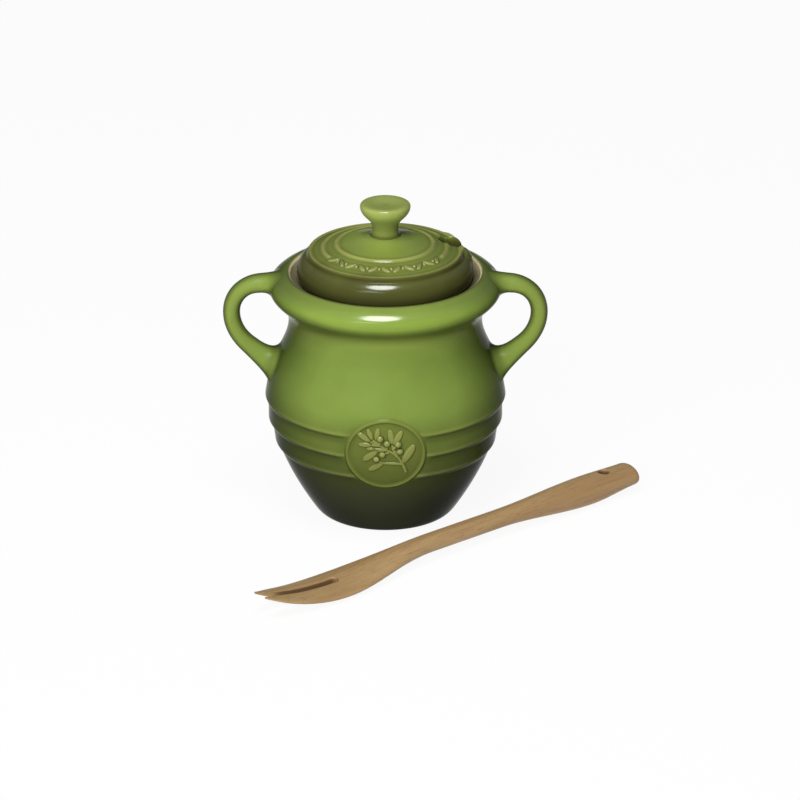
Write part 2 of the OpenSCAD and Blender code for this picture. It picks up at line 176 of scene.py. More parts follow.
def turned(line: Line, steps: int) -> BMesh:
    """Spin an outline about the Z axis into a closed skin.

    Args:
        line: Radius and height of each point, from axis to axis.
        steps: Number of steps round the axis.

    Returns:
        The spun mesh, with its poles merged and its faces pointing outwards.
    """
    bm = bmesh.new()
    verts = [bm.verts.new((r * MM, 0, z * MM)) for r, z in line]
    edges = [bm.edges.new(pair) for pair in zip(verts, verts[1:])]
    bmesh.ops.spin(bm, geom=[*verts, *edges], cent=(0, 0, 0), axis=(0, 0, 1), dvec=(0, 0, 0),
                   angle=2 * math.pi, steps=steps, use_merge=True)
    bmesh.ops.remove_doubles(bm, verts=bm.verts, dist=TOUCH)
    outward(bm)
    return bm


def grow(bm: BMesh, verts: Sequence[BMVert], places: Sequence[Vector]) -> list[BMVert]:
    """Extrude a closed ring and put the new ring at the given places.

    Args:
        bm: Mesh that holds the ring.
        verts: The ring's vertices in order.
        places: One place for each vertex, in metres.

    Returns:
        The new ring's vertices in order.
    """
    edges = [bm.edges.get((a, b)) for a, b in zip(verts, [*verts[1:], verts[0]])]
    made = bmesh.ops.extrude_edge_only(bm, edges=edges)["geom"]
    fresh = {item for item in made if isinstance(item, BMVert)}
    grown = []
    for old, place in zip(verts, places):
        new = next(e.other_vert(old) for e in old.link_edges if e.other_vert(old) in fresh)
        new.co = place
        grown.append(new)
    return grown


def skin(bm: BMesh, rows: Sequence[Sequence[Vector]]) -> list[BMVert]:
    """Extrude an open skin through rings of points.

    Args:
        bm: Mesh that takes the skin.
        rows: Rings with the same number of points, in metres.

    Returns:
        The last ring's vertices in order.
    """
    verts = list(bmesh.ops.create_circle(bm, cap_ends=False, radius=1, segments=len(rows[0]))["verts"])
    for vert, place in zip(verts, rows[0]):
        vert.co = place
    for row in rows[1:]:
        verts = grow(bm, verts, row)
    return verts


def add_berry(bm: BMesh, place: Sequence[float], size: float, around: int, down: int) -> None:
    """Add one ball of the given radius and steps at a place."""
    made = bmesh.ops.create_uvsphere(bm, u_segments=around, v_segments=down, radius=size)
    bmesh.ops.translate(bm, verts=made["verts"], vec=place)


def add_leaf(bm: BMesh, foot: Vector, tip: Vector, half: float, high: float) -> None:
    """Add one domed leaf with a sunk midrib, on a flat ground.

    Args:
        bm: Mesh that takes the leaf.
        foot: Where the leaf starts.
        tip: Where it ends.
        half: Half of its width.
        high: Height of its back.
    """
    sunk, rib_w, rib_h = 0.12, 0.22, 0.22
    across = Vector((foot.y - tip.y, tip.x - foot.x)).normalized()
    for vert in bmesh.ops.create_grid(bm, x_segments=18, y_segments=8, size=1.0)["verts"]:
        t, b = (vert.co.x + 1) / 2, vert.co.y
        width = half * (0.1 + 1.98 * t**0.6 * max(0.0, 1 - t) ** 0.55)
        place = foot.lerp(tip, t) + across * (b * width)
        back = math.sqrt(max(0.0, 1 - b * b)) * (width / half) ** 0.5
        rib = rib_h * hump(b, 0, rib_w) * math.sin(math.pi * t)
        vert.co = (place.x, place.y, high * (back - rib) - sunk)
    bmesh.ops.poke(bm, faces=cap(bm))


def add_twig(bm: BMesh, line: Sequence[Vector], half: float, high: float) -> None:
    """Add one rounded twig along a line, on a flat ground.

    Args:
        bm: Mesh that takes the twig.
        line: Points that it follows.
        half: Half of its width at the foot.
        high: Height of its back.
    """
    steps, sides, thin, below = 5, 10, 0.62, 0.3
    fine = []
    for a, b, c, d in zip([line[0], *line], line, line[1:], [*line[2:], line[-1]]):
        for t in (i / steps for i in range(steps)):
            fine.append(0.5 * (2 * b + (c - a) * t + (2 * a - 5 * b + 4 * c - d) * t * t
                               + (3 * b - a - 3 * c + d) * t**3))
    fine.append(line[-1])
    rows = []
    for i, place in enumerate(fine):
        way = heading(fine, i)
        size = mix(1.0, thin, i / (len(fine) - 1))
        row = []
        for s in turns(sides):
            side = place + Vector((-way.y, way.x)) * (half * size * math.cos(s))
            up = math.sin(s) if math.sin(s) > 0 else below * math.sin(s)
            row.append(Vector((side.x, side.y, high * size * up)))
        rows.append(row)
    skin(bm, rows)
    cap(bm)


def cut(piece: bpy.types.Object, tool: bpy.types.Object) -> None:
    """Cut one closed mesh out of another, clean its seams and delete the tool.

    Args:
        piece: Object whose mesh is cut.
        tool: Object that is cut away.
    """
    modifier = piece.modifiers.new("cut", "BOOLEAN")
    modifier.operation, modifier.solver, modifier.object = "DIFFERENCE", "EXACT", tool
    bpy.context.view_layer.update()
    shaped = bpy.data.meshes.new_from_object(piece.evaluated_get(bpy.context.evaluated_depsgraph_get()))
    bm = bmesh.new()
    bm.from_mesh(shaped)
    bmesh.ops.remove_doubles(bm, verts=bm.verts, dist=TOUCH)
    bmesh.ops.dissolve_degenerate(bm, edges=bm.edges, dist=TOUCH)
    bm.to_mesh(shaped)
    bm.free()
    piece.modifiers.clear()
    old, piece.data = piece.data, shaped
    shaped.name = piece.name
    bpy.data.meshes.remove(old)
    bpy.data.objects.remove(tool)


def place_object(name: str, data: bpy.types.ID) -> bpy.types.Object:
    """New object with the given data, linked to the scene."""
    made = bpy.data.objects.new(name, data)
    bpy.context.scene.collection.objects.link(made)
    return made


def to_object(bm: BMesh, name: str) -> bpy.types.Object:
    """Turn a bmesh into an object at the origin.

    Args:
        bm: Finished mesh, which is freed.
        name: Name of the object.

    Returns:
        The new object, linked to the scene.
    """
    mesh = bpy.data.meshes.new(name)
    bm.to_mesh(mesh)
    bm.free()
    return place_object(name, mesh)


def mark(piece: bpy.types.Object, rule: Callable[[Vector], Marks]) -> bpy.types.Object:
    """Write the marks of every vertex as attributes.

    Args:
        piece: Object whose mesh is marked.
        rule: Gives the marks of a point in millimetres.

    Returns:
        The same object.
    """
    found = [rule(v.co / MM) for v in piece.data.vertices]
    for name in Mark:
        layer = piece.data.attributes.new(name.value, "FLOAT", "POINT")
        layer.data.foreach_set("value", np.array([getattr(m, name.value) for m in found], np.float32))
    return piece


def dress(piece: bpy.types.Object, material: bpy.types.Material, body: Body, slot: Slot,
          nodes: Sequence[str], sharp: float = 50.0) -> None:
    """Give a piece its finish and its place in the frame.

    Args:
        piece: Object to dress.
        material: Its finish.
        body: CAD body that it rides on.
        slot: Material slot of the record. Not used.
        nodes: CAD nodes that it stands for.
        sharp: Angle, in degrees, above which an edge stays sharp.
    """
    piece.data.materials.clear()
    piece.data.materials.append(material)
    piece.data.shade_smooth()
    piece.data.set_sharp_from_angle(angle=math.radians(sharp))
    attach(piece, body.value)
    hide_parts(*nodes)
    LOG.info("%s: %d faces on %s", piece.name, len(piece.data.polygons), body.value)


class Graph:
    """Adds nodes to a shader tree and joins them."""

    # Sockets of a Mix node that blends colours
    mix_a, mix_b, mix_out = 6, 7, 2

    def __init__(self, tree: bpy.types.NodeTree) -> None:
        """Keep the tree and empty it."""
        self.tree = tree
        tree.nodes.clear()

    def add(self, kind: str, inputs: dict | None = None, **settings: object) -> bpy.types.Node:
        """Add one node.

        Args:
            kind: Node type without its ShaderNode prefix.
            inputs: Socket name or index to a value, or to an output socket to join.
            settings: Properties of the node.

        Returns:
            The new node.
        """
        node = self.tree.nodes.new(kind if kind.startswith("Node") else "ShaderNode" + kind)
        for key, value in settings.items():
            setattr(node, key, value)
        for key, value in (inputs or {}).items():
            if isinstance(value, bpy.types.NodeSocket):
                self.tree.links.new(value, node.inputs[key])
            else:
                node.inputs[key].default_value = value
        return node

    def place(self) -> bpy.types.NodeSocket:
        """Object coordinates, as an output socket."""
        return self.add("TexCoord").outputs["Object"]

    def mark(self, name: Mark) -> bpy.types.NodeSocket:
        """One mark of the mesh, as an output socket."""
        return self.add("Attribute", attribute_name=name.value).outputs["Fac"]

    def noise(self, place: object, scale: float, detail: float, rough: float = 0.5,
              wobble: float = 0.0) -> bpy.types.NodeSocket:
        """Noise at a place, as an output socket."""
        return self.add("TexNoise", {"Vector": place, "Scale": scale, "Detail": detail, "Roughness": rough,
                                     "Distortion": wobble}).outputs[0]

    def math(self, operation: str, a: object, b: object = 0.0) -> bpy.types.NodeSocket:
        """Result of one operation on two values, as an output socket."""
        return self.add("Math", {0: a, 1: b}, operation=operation).outputs[0]

    def span(self, value: object, low: float, high: float, to_low: float,
             to_high: float) -> bpy.types.NodeSocket:
        """Value moved from one range to another, as an output socket."""
        return self.add("MapRange", {0: value, 1: low, 2: high, 3: to_low, 4: to_high}).outputs[0]

    def grey(self, value: object) -> bpy.types.NodeSocket:
        """Grey of a value, as an output socket."""
        return self.add("CombineColor", {0: value, 1: value, 2: value}).outputs[0]

    def blend(self, factor: object, a: object, b: object, mode: str = "MIX") -> bpy.types.NodeSocket:
        """Blend two colours.

        Args:
            factor: Share of the second colour.
            a: First colour, or its output socket.
            b: Second colour, or its output socket.
            mode: Kind of blend.

        Returns:
            The output socket of the blended colour.
        """
        a, b = (v if isinstance(v, bpy.types.NodeSocket) else (*v, 1.0) for v in (a, b))
        inputs = {0: factor, self.mix_a: a, self.mix_b: b}
        return self.add("Mix", inputs, data_type="RGBA", blend_type=mode).outputs[self.mix_out]

    def ramp(self, factor: object, stops: Sequence[tuple[float, Colour]]) -> bpy.types.NodeSocket:
        """Colour ramp.

        Args:
            factor: Output socket of the place on the ramp.
            stops: Places from 0 to 1 and their colours.

        Returns:
            The output socket of the colour.
        """
        node = self.add("ValToRGB", {0: factor})
        band = node.color_ramp.elements
        while len(band) < len(stops):
            band.new(1.0)
        for element, (place, colour) in zip(band, stops):
            element.position, element.color = place, (*colour, 1.0)
        return node.outputs[0]


def new_material(name: str) -> tuple[bpy.types.Material, Graph]:
    """Empty node material, and the graph that fills it.

    Args:
        name: Name of the material.

    Returns:
        The material and its graph.
    """
    material = bpy.data.materials.new(name)
    material.use_nodes = True
    return material, Graph(material.node_tree)


def glaze_group() -> bpy.types.NodeTree:
    """Node group of a fired glaze, which runs thin on crests, pools in grooves and takes painted shade where
    marked.

    Returns:
        The group, made once and shared by every glaze.
    """
    found = bpy.data.node_groups.get("fired_glaze")
    if found:
        return found
    group = bpy.data.node_groups.new("fired_glaze", "ShaderNodeTree")
    for way, kind, names in (("INPUT", "Color", ("Glaze", "Thin", "Pooled_and_shade", "Clay")),
                             ("INPUT", "Float", ("Mottling", "Gloss")), ("OUTPUT", "Color", ("Colour",)),
                             ("OUTPUT", "Float", ("Roughness", "Height", "Shine"))):
        for name in names:
            group.interface.new_socket(name, in_out=way, socket_type="NodeSocket" + kind)
    g = Graph(group)
    given = g.add("NodeGroupInput").outputs
    place = g.place()
    clouds = g.noise(place, 55.0, 3.0, 0.55)
    specks = g.noise(place, 900.0, 2.0, 0.6)
    ripple = g.noise(place, 120.0, 1.0, 0.4)
    crest, pool, bare = (g.mark(m) for m in Mark)
    worn = g.math("MULTIPLY", crest, g.span(clouds, 0.3, 0.7, 0.75, 1.0))
    colour = g.blend(worn, given["Glaze"], given["Thin"])
    # Pooled glaze, and painted shade where the pieces mark it, blend towards the pooled colour
    colour = g.blend(pool, colour, given["Pooled_and_shade"])
    cloud = g.span(clouds, 0.3, 0.7, -1.0, 1.0)
    speck = g.span(specks, 0.25, 0.45, -0.6, 0.0)
    shade = g.math("ADD", 1.0, g.math("MULTIPLY", g.math("ADD", cloud, speck), given["Mottling"]))
    colour = g.blend(1.0, colour, g.grey(shade), "MULTIPLY")
    colour = g.blend(bare, colour, given["Clay"])
    rough = g.math("ADD", given["Gloss"], g.span(specks, 0.3, 0.7, -0.03, 0.05))
    rough = g.math("ADD", rough, g.math("MULTIPLY", bare, 0.3))
    height = g.math("ADD", g.math("MULTIPLY", ripple, 0.7), g.math("MULTIPLY", specks, 0.12))
    up = g.add("SeparateXYZ", {0: g.add("NewGeometry").outputs["Normal"]}).outputs[2]
    shine = g.math("MULTIPLY", g.span(up, 0.45, 0.66, 0.0, 1.0), g.span(pool, 0.0, 0.6, 1.0, 0.0))
    shine = g.math("MULTIPLY", shine, g.span(crest, 0.0, 0.8, 1.0, 0.3))
    shine = g.math("MULTIPLY", shine, g.math("SUBTRACT", 1.0, bare))
    g.add("NodeGroupOutput", {"Colour": colour, "Roughness": rough, "Height": height, "Shine": shine})
    return group


@dataclass(frozen=True)
class Glaze:
    """Glossy glaze whose colour changes with height, as where a second glaze is sprayed on from below.

    Each stop is a height and the red, green and blue levels of its screen colour. The base colour
    also darkens towards the silhouettes, which is painted shade.
    """

    name: str
    stops: tuple[tuple[float, int, int, int], ...]
    thin: Colour
    # Colour of pooled glaze and of painted shade
    pooled_and_shade: Colour
    clay: Colour = srgb(236, 220, 178)
    mottling: float = 0.05
    gloss: float = 0.17
    # Share of the base colour left at the silhouettes, as painted shade
    edge_shade: float = 0.3
    waviness: float = 0.06
    wander: float = 1.2
    blur: float = 0.16
    polish: float = 1.0

    def material(self) -> bpy.types.Material:
        """Material of this glaze, made once.

        Returns:
            The material with its node tree.
        """
        found = bpy.data.materials.get(self.name)
        if found:
            return found
        material, g = new_material(self.name)
        place = g.place()
        wander = g.span(g.noise(place, 40.0, 2.0), 0.3, 0.7, -self.wander * MM, self.wander * MM)
        height = g.math("ADD", g.add("SeparateXYZ", {0: place}).outputs[2], wander)
        low, high = self.stops[0][0], self.stops[-1][0]
        level = g.span(height, low * MM, high * MM, 0.0, 1.0)
        colour = g.ramp(level, [((z - low) / (high - low), srgb(*levels)) for z, *levels in self.stops])
        fired = g.add("Group", {"Glaze": colour, "Thin": (*self.thin, 1.0), "Pooled_and_shade": (*self.pooled_and_shade, 1.0),
                                "Clay": (*self.clay, 1.0), "Mottling": self.mottling, "Gloss": self.gloss},
                      node_tree=glaze_group()).outputs
        bump = g.add("Bump", {"Strength": 1.0, "Distance": self.waviness * MM, "Height": fired["Height"]})
        # Painted shade: the base colour darkens where the surface turns away from the viewer, towards the
        # silhouettes
        facing = g.add("LayerWeight", {"Blend": 0.5}).outputs["Facing"]
        edge_shade = g.math("MAXIMUM", g.span(facing, 0.2, 0.7, 1.0, self.edge_shade), g.mark(Mark.BARE))
        colour = g.blend(1.0, fired["Colour"], g.grey(edge_shade), "MULTIPLY")
        shine = g.math("MULTIPLY", fired["Shine"], g.span(facing, 0.5, 0.75, self.polish, 0.0))
        shader = g.add("BsdfPrincipled", {"Base Color": colour, "Roughness": fired["Roughness"],
                                          "Normal": bump.outputs[0], "IOR": 1.5, "Specular IOR Level": 0.01,
                                          "Coat Weight": shine, "Coat Roughness": self.blur,
                                          "Coat IOR": 1.75})
        g.add("OutputMaterial", {0: shader.outputs[0]})
        return material


@dataclass(frozen=True)
class Beech:
    """Oiled beech with long fine grain, short dark flecks and scorched cuts that also carry painted shade."""

    name: str = "oiled_beech"
    pale: Colour = srgb(170, 140, 98)
    warm: Colour = srgb(152, 120, 80)
    vein: Colour = srgb(128, 96, 61)
    scorch_and_shade: Colour = srgb(104, 74, 44)
    turn: float = 40.0
    grain: float = 0.09
    band_scale: tuple[float, float, float] = (6.0, 110.0, 110.0)
    line_scale: tuple[float, float, float] = (40.0, 900.0, 900.0)
    fleck_scale: tuple[float, float, float] = (260.0, 1500.0, 1500.0)

    def material(self) -> bpy.types.Material:
        """Material of this wood, with its grain along the fork.

        Returns:
            The material with its node tree.
        """
        material, g = new_material(self.name)
        way = (0, 0, math.radians(-self.turn))
        along = g.add("Mapping", {"Vector": g.place(), "Rotation": way}).outputs[0]
        drawn, fine, short = (g.add("Mapping", {"Vector": along, "Scale": scale}).outputs[0]
                              for scale in (self.band_scale, self.line_scale, self.fleck_scale))
        bands = g.noise(drawn, 1.0, 4.0, wobble=0.6)
        lines = g.noise(fine, 1.0, 3.0, 0.65)
        flecks = g.noise(short, 1.0, 1.0)
        colour = g.ramp(bands, [(0.30, self.warm), (0.52, self.pale), (0.70, self.warm)])
        colour = g.blend(g.span(lines, 0.52, 0.75, 0.0, 0.55), colour, self.vein)
        colour = g.blend(g.span(flecks, 0.62, 0.74, 0.0, 0.5), colour, self.vein)
        colour = g.blend(g.mark(Mark.POOL), colour, self.scorch_and_shade)
        rough = g.span(lines, 0.3, 0.7, 0.42, 0.58)
        height = g.math("SUBTRACT", g.math("MULTIPLY", lines, 0.6), g.math("MULTIPLY", flecks, 0.4))
        bump = g.add("Bump", {"Strength": 1.0, "Distance": self.grain * MM, "Height": height})
        shader = g.add("BsdfPrincipled", {"Base Color": colour, "Roughness": rough, "Normal": bump.outputs[0],
                                          "IOR": 1.45})
        g.add("OutputMaterial", {0: shader.outputs[0]})
        return material


# Dark near the foot and green higher up, as the glaze is; the lighter stops at 97 and 103 mm are painted
# light that lifts the shaded neck and the collar's underside
JAR_GLAZE = Glaze(
    "jar_glaze",
    ((0, 55, 57, 39), (10, 56, 58, 40), (22, 63, 66, 44), (31, 66, 71, 41), (41, 80, 90, 42),
     (52, 96, 110, 50), (60, 103, 119, 54), (67, 115, 134, 61), (80, 113, 133, 60), (89, 117, 137, 61),
     (97, 132, 152, 69), (103, 145, 165, 77), (109, 126, 148, 63), (119, 124, 146, 62)),
    thin=srgb(158, 168, 88), pooled_and_shade=srgb(60, 66, 30),
)
EAR_GLAZE = replace(
    JAR_GLAZE, name="ear_glaze", blur=0.3, polish=0.25,
    stops=((60, 112, 131, 59), (76, 118, 137, 62), (90, 123, 140, 65), (106, 122, 138, 65),
           (119, 121, 141, 62)),
)
LID_GLAZE = Glaze(
    "lid_glaze",
    ((112, 56, 56, 30), (119, 64, 65, 32), (124, 74, 76, 35), (126.5, 84, 88, 38), (128.6, 112, 124, 52),
     (134, 128, 146, 63), (137, 144, 160, 75), (140, 155, 170, 85), (153, 148, 163, 84)),
    thin=srgb(152, 152, 88), pooled_and_shade=srgb(58, 58, 28), edge_shade=0.8,
)
MEDALLION_GLAZE = Glaze(
    "pad_finish",
    ((28, 88, 96, 45), (40, 95, 104, 48), (56, 99, 110, 50), (68, 104, 118, 52)),
    thin=srgb(136, 146, 74), pooled_and_shade=srgb(70, 78, 34), mottling=0.04, polish=0.1,
)
RELIEF_GLAZE = Glaze(
    "sprig_finish",
    ((30, 118, 124, 64), (66, 128, 134, 70), (140, 142, 147, 82)),
    thin=srgb(146, 150, 88), pooled_and_shade=srgb(82, 90, 42), mottling=0.04, blur=0.2,
)


@dataclass(frozen=True)
class Outline:
    """Turned outline of the jar, shared by all that sits on it."""

    foot_r: float = 29.0
    foot_flare: float = 5.0
    foot_rise: float = 3.4
    foot_pulls: Pulls = (((2.5, 0.0), (-1.2, -1.6)),)
    belly_r: float = 55.1
    belly_z: float = 61.0
    belly_pulls: Pulls = (((12.2, 18.0), (0.0, -19.0)), ((0.0, 14.0), (0.0, -12.0)))
    neck_r: float = 45.0
    neck_z: float = 95.0
    collar_r: float = 54.0
    collar_z: float = 111.0
    collar_pulls: Pulls = (((0.0, 9.0), (0.0, -5.5)), ((0.0, 3.0), (4.0, -1.7)))
    crest_r: float = 47.0
    rim_z: float = 118.1
    lip_drop: float = 1.6
    lip_pulls: Pulls = (((-1.4, 0.6), (0.0, 1.8)),)
    mouth_r: float = 44.0
    seat_z: float = 114.0
    seat_soft: tuple[float, float] = (0.6, 0.5)
    throat_r: float = 36.4
    throat_h: float = 5.0
    wall: float = 5.0
    floor: float = 6.0
    floor_rise: float = 6.0
    floor_run: float = 10.0
    floor_pulls: Pulls = (((-2.0, -4.0), (5.0, 0.0)),)
    band_count: int = 3
    band_pitch: float = 11.0
    band_step: float = 1.15
    band_crest: float = 2.4
    band_fade: float = 8.6
    band_hollow: float = 1.7
    groove_z: float = 55.3

    def belly(self) -> Line:
        """Plain outline from the foot's edge up to the neck."""
        points = [(self.foot_r + self.foot_flare, self.foot_rise), (self.belly_r, self.belly_z),
                  (self.neck_r, self.neck_z)]
        return curve(points, self.belly_pulls, (84, 26))

    def collar(self) -> Line:
        """Outline of the collar and rim, from the neck up to the crest."""
        points = [(self.neck_r, self.neck_z), (self.collar_r, self.collar_z), (self.crest_r, self.rim_z)]
        return curve(points, self.collar_pulls, (16, 14))

    @cached_property
    def plain(self) -> np.ndarray:
        """Radii and heights of the outside without bands."""
        return np.array([*self.belly(), *self.collar()[1:]]).T

    def plain_r(self, z: float) -> float:
        """Radius of the outside without bands at a height."""
        return float(np.interp(z, self.plain[1], self.plain[0]))

    def bands(self) -> list[float]:
        """Heights of the grooves below each rolled band, from the top down."""
        return [self.groove_z - i * self.band_pitch for i in range(self.band_count)]

    def roll(self, z: float) -> float:
        """How far a coved band stands out, most at the crest above its groove.

        Args:
            z: Height on the jar.

        Returns:
            The distance beyond the plain outline.
        """
        out = 0.0
        for up in (z - groove for groove in self.bands()):
            if 0 < up < self.band_pitch:
                fade = min(1.0, (self.band_pitch - up) / self.band_fade) ** self.band_hollow
                out = max(out, ease(up / self.band_crest) * fade)
        return self.band_step * out

    def outer_r(self, z: float) -> float:
        """Radius of the outside at a height, with its bands."""
        return self.plain_r(z) + self.roll(z)

    def section(self) -> Line:
        """Closed section of the jar.

        Returns:
            Its points, from the foot's middle round to the floor's middle.
        """
        belly = self.belly()
        foot = curve([(self.foot_r, 0), belly[0]], self.foot_pulls, (6,))
        outside = [(r + self.roll(z), z) for r, z in belly[1:]]
        lip = [(self.crest_r, self.rim_z), (self.mouth_r, self.rim_z - self.lip_drop)]
        lip = curve(lip, self.lip_pulls, (8,))
        outer, inner = self.seat_soft
        ledge = [(self.mouth_r, self.seat_z + outer), (self.mouth_r - outer, self.seat_z),
                 (self.throat_r + inner, self.seat_z), (self.throat_r, self.seat_z - inner),
                 (self.throat_r, self.seat_z - self.throat_h)]
        inside = [(r - self.wall, z) for r, z in belly[::-4] if z > self.floor + self.floor_rise]
        corner_r = inside[-1][0]
        floor = curve([inside[-1], (corner_r - self.floor_run, self.floor)], self.floor_pulls, (6,))
        under = [(share * self.foot_r, 0) for share in (0.0, 0.3, 0.6)]
        return [*under, *foot, *outside, *self.collar()[1:], *lip[1:], *ledge, *inside, *floor[1:],
                (0.3 * corner_r, self.floor), (0, self.floor)]


@dataclass
class Medallion:
    """Round pad let into the belly, with a raised border and a sprig in relief.

    The sprig's points are shares of its own radius, from the middle to the right and upwards.
    """

    outline: Outline
    radius: float = 18.5
    middle_z: float = 48.0
    border_w: float = 2.1
    border_out: float = 0.9
    border_h: float = 0.75
    border_drop: float = 0.12
    border_side: float = 0.8
    foot_in: float = 1.5
    sink: float = 1.2
    sprig_in: float = 1.8
    sprig_h: float = 1.0
    sprig_lift: float = 1.4
    olive_d: float = 3.6
    olive_up: float = 0.25
    stem_w: float = 2.1
    leaf_w: tuple[float, float] = (0.4, 0.17)
    leaves: tuple = (
        ((-0.42, 0.36), (-0.78, 0.62)), ((-0.36, 0.42), (-0.50, 0.76)), ((-0.26, 0.40), (-0.20, 0.80)),
        ((0.18, 0.28), (0.12, 0.76)), ((0.22, 0.26), (0.46, 0.70)), ((-0.38, 0.26), (-0.76, 0.26)),
        ((-0.30, 0.14), (-0.54, 0.14)), ((-0.22, 0.08), (-0.64, -0.28)), ((-0.06, -0.32), (-0.48, -0.60)),
        ((0.46, -0.36), (0.80, 0.24)),
    )
    olives: tuple = ((-0.15, 0.46), (0.04, 0.31), (0.35, 0.28), (0.40, 0.05), (-0.09, -0.04), (-0.26, -0.20))
    twigs: tuple = (
        ((0.56, -0.64), (0.46, -0.36), (0.30, -0.08), (0.02, 0.12), (-0.18, 0.26), (-0.42, 0.36)),
        ((0.46, -0.36), (0.20, -0.34), (-0.06, -0.32), (-0.22, -0.24)),
        ((0.30, -0.08), (0.22, 0.10), (0.18, 0.28)),
        ((0.24, 0.04), (0.40, 0.05)), ((0.20, 0.14), (0.35, 0.28)), ((0.02, 0.12), (0.04, 0.31)),
        ((-0.18, 0.26), (-0.15, 0.46)), ((0.02, 0.12), (-0.22, 0.08)), ((0.10, 0.04), (-0.09, -0.04)),
        ((-0.18, 0.26), (-0.38, 0.26)), ((0.02, 0.12), (-0.30, 0.14)), ((-0.18, 0.26), (-0.26, 0.40)),
        ((-0.18, 0.26), (-0.36, 0.42)),
    )

    def __post_init__(self) -> None:
        """Work out the belly's slope at the medallion."""
        near = 5.0
        rise = self.outline.plain_r(self.middle_z + near) - self.outline.plain_r(self.middle_z - near)
        self.slope = math.cos(math.atan(rise / (2 * near)))

    def on_belly(self, right: float, up: float, high: float) -> Vector:
        """Point over the plain belly, from a place in the medallion's plane.

        Args:
            right: Distance to the right of the medallion's middle.
            up: Distance up from it, along the belly.
            high: Height above the belly.

        Returns:
            The point in metres.
        """
        z = self.middle_z + up * self.slope
        r = self.outline.plain_r(z) + high
        return Vector((right, -math.sqrt(max(0.0, r * r - right * right)), z)) * MM

    def reach(self, p: Vector) -> float:
        """Distance of a point on the belly from the medallion's middle, far away at the back."""
        return math.hypot(p.x, (p.z - self.middle_z) / self.slope) if p.y <= 0 else math.inf

    def wrap(self, bm: BMesh) -> None:
        """Lay a mesh made in the medallion's plane on the belly and turn its faces outwards."""
        for vert in bm.verts:
            vert.co = self.on_belly(*vert.co)
        outward(bm)

    def pad(self) -> bpy.types.Object:
        """Pad with its border.

        Returns:
            The pad as an object.
        """
        n = 16
        inner, outer = self.radius - self.border_w, self.radius + self.border_out
        line = [(inner * i / n, 0.0) for i in range(n)]
        for t in (i / n for i in range(n + 1)):
            high = self.border_h * math.sin(math.pi * t) ** 2 - self.border_drop * ease(2 * t - 1)
            line.append((mix(inner, outer, t), high))
        line += [(outer, -self.border_side), (self.radius - self.foot_in, -self.sink), (0, -self.sink)]
        bm = turned(line, 120)
        bmesh.ops.scale(bm, vec=(1 / MM, 1 / MM, 1 / MM), verts=bm.verts)
        self.wrap(bm)

        def rule(p: Vector) -> Marks:
            """Thin glaze on the border's crest and a darker pool at its foot."""
            d = self.reach(p)
            return Marks(crest=0.28 * hump(d, self.radius - self.border_w / 4, 0.9),
                         pool=0.3 * hump(d, inner - 0.3, 0.9))

        return mark(to_object(bm, "medallion_pad"), rule)

    def spot(self, share: Point) -> Vector:
        """Place in the medallion's plane of a point of the sprig."""
        return Vector(share) * (self.radius - self.sprig_in) + Vector((0, self.sprig_lift))

    def sprig(self) -> bpy.types.Object:
        """Olive sprig in relief.

        Returns:
            The sprig as one object.
        """
        bm = bmesh.new()
        for foot, tip in self.leaves:
            a, b = self.spot(foot), self.spot(tip)
            add_leaf(bm, a, b, self.leaf_w[0] + (b - a).length * self.leaf_w[1], self.sprig_h)
        for line in self.twigs:
            add_twig(bm, [self.spot(p) for p in line], self.stem_w / 2, self.sprig_h)
        places = [(*self.spot(p), self.olive_up) for p in self.olives]
        for place in places:
            add_berry(bm, place, self.olive_d / 2, 20, 12)
        olives = [self.on_belly(*place) / MM for place in places]
        self.wrap(bm)

        def rule(p: Vector) -> Marks:
            """Thin glaze on what stands highest, least on the olives, and pooled glaze at the foot."""
            high = radius(p) - self.outline.plain_r(p.z)
            on_olive = min((p - at).length for at in olives) < self.olive_d / 2 + 0.1
            return Marks(crest=(0.15 if on_olive else 0.6) * ease(high - 0.5),
                         pool=0.7 * ease((0.4 - high) / 0.45))

        return mark(to_object(bm, "olive_sprig_relief"), rule)

    def build(self) -> None:
        """Make the pad and the sprig and dress them."""
        dress(self.pad(), MEDALLION_GLAZE.material(), Body.JAR, Slot.MEDALLION, ["medallion"])
        dress(self.sprig(), RELIEF_GLAZE.material(), Body.JAR, Slot.RELIEF, ["olive_sprig"])


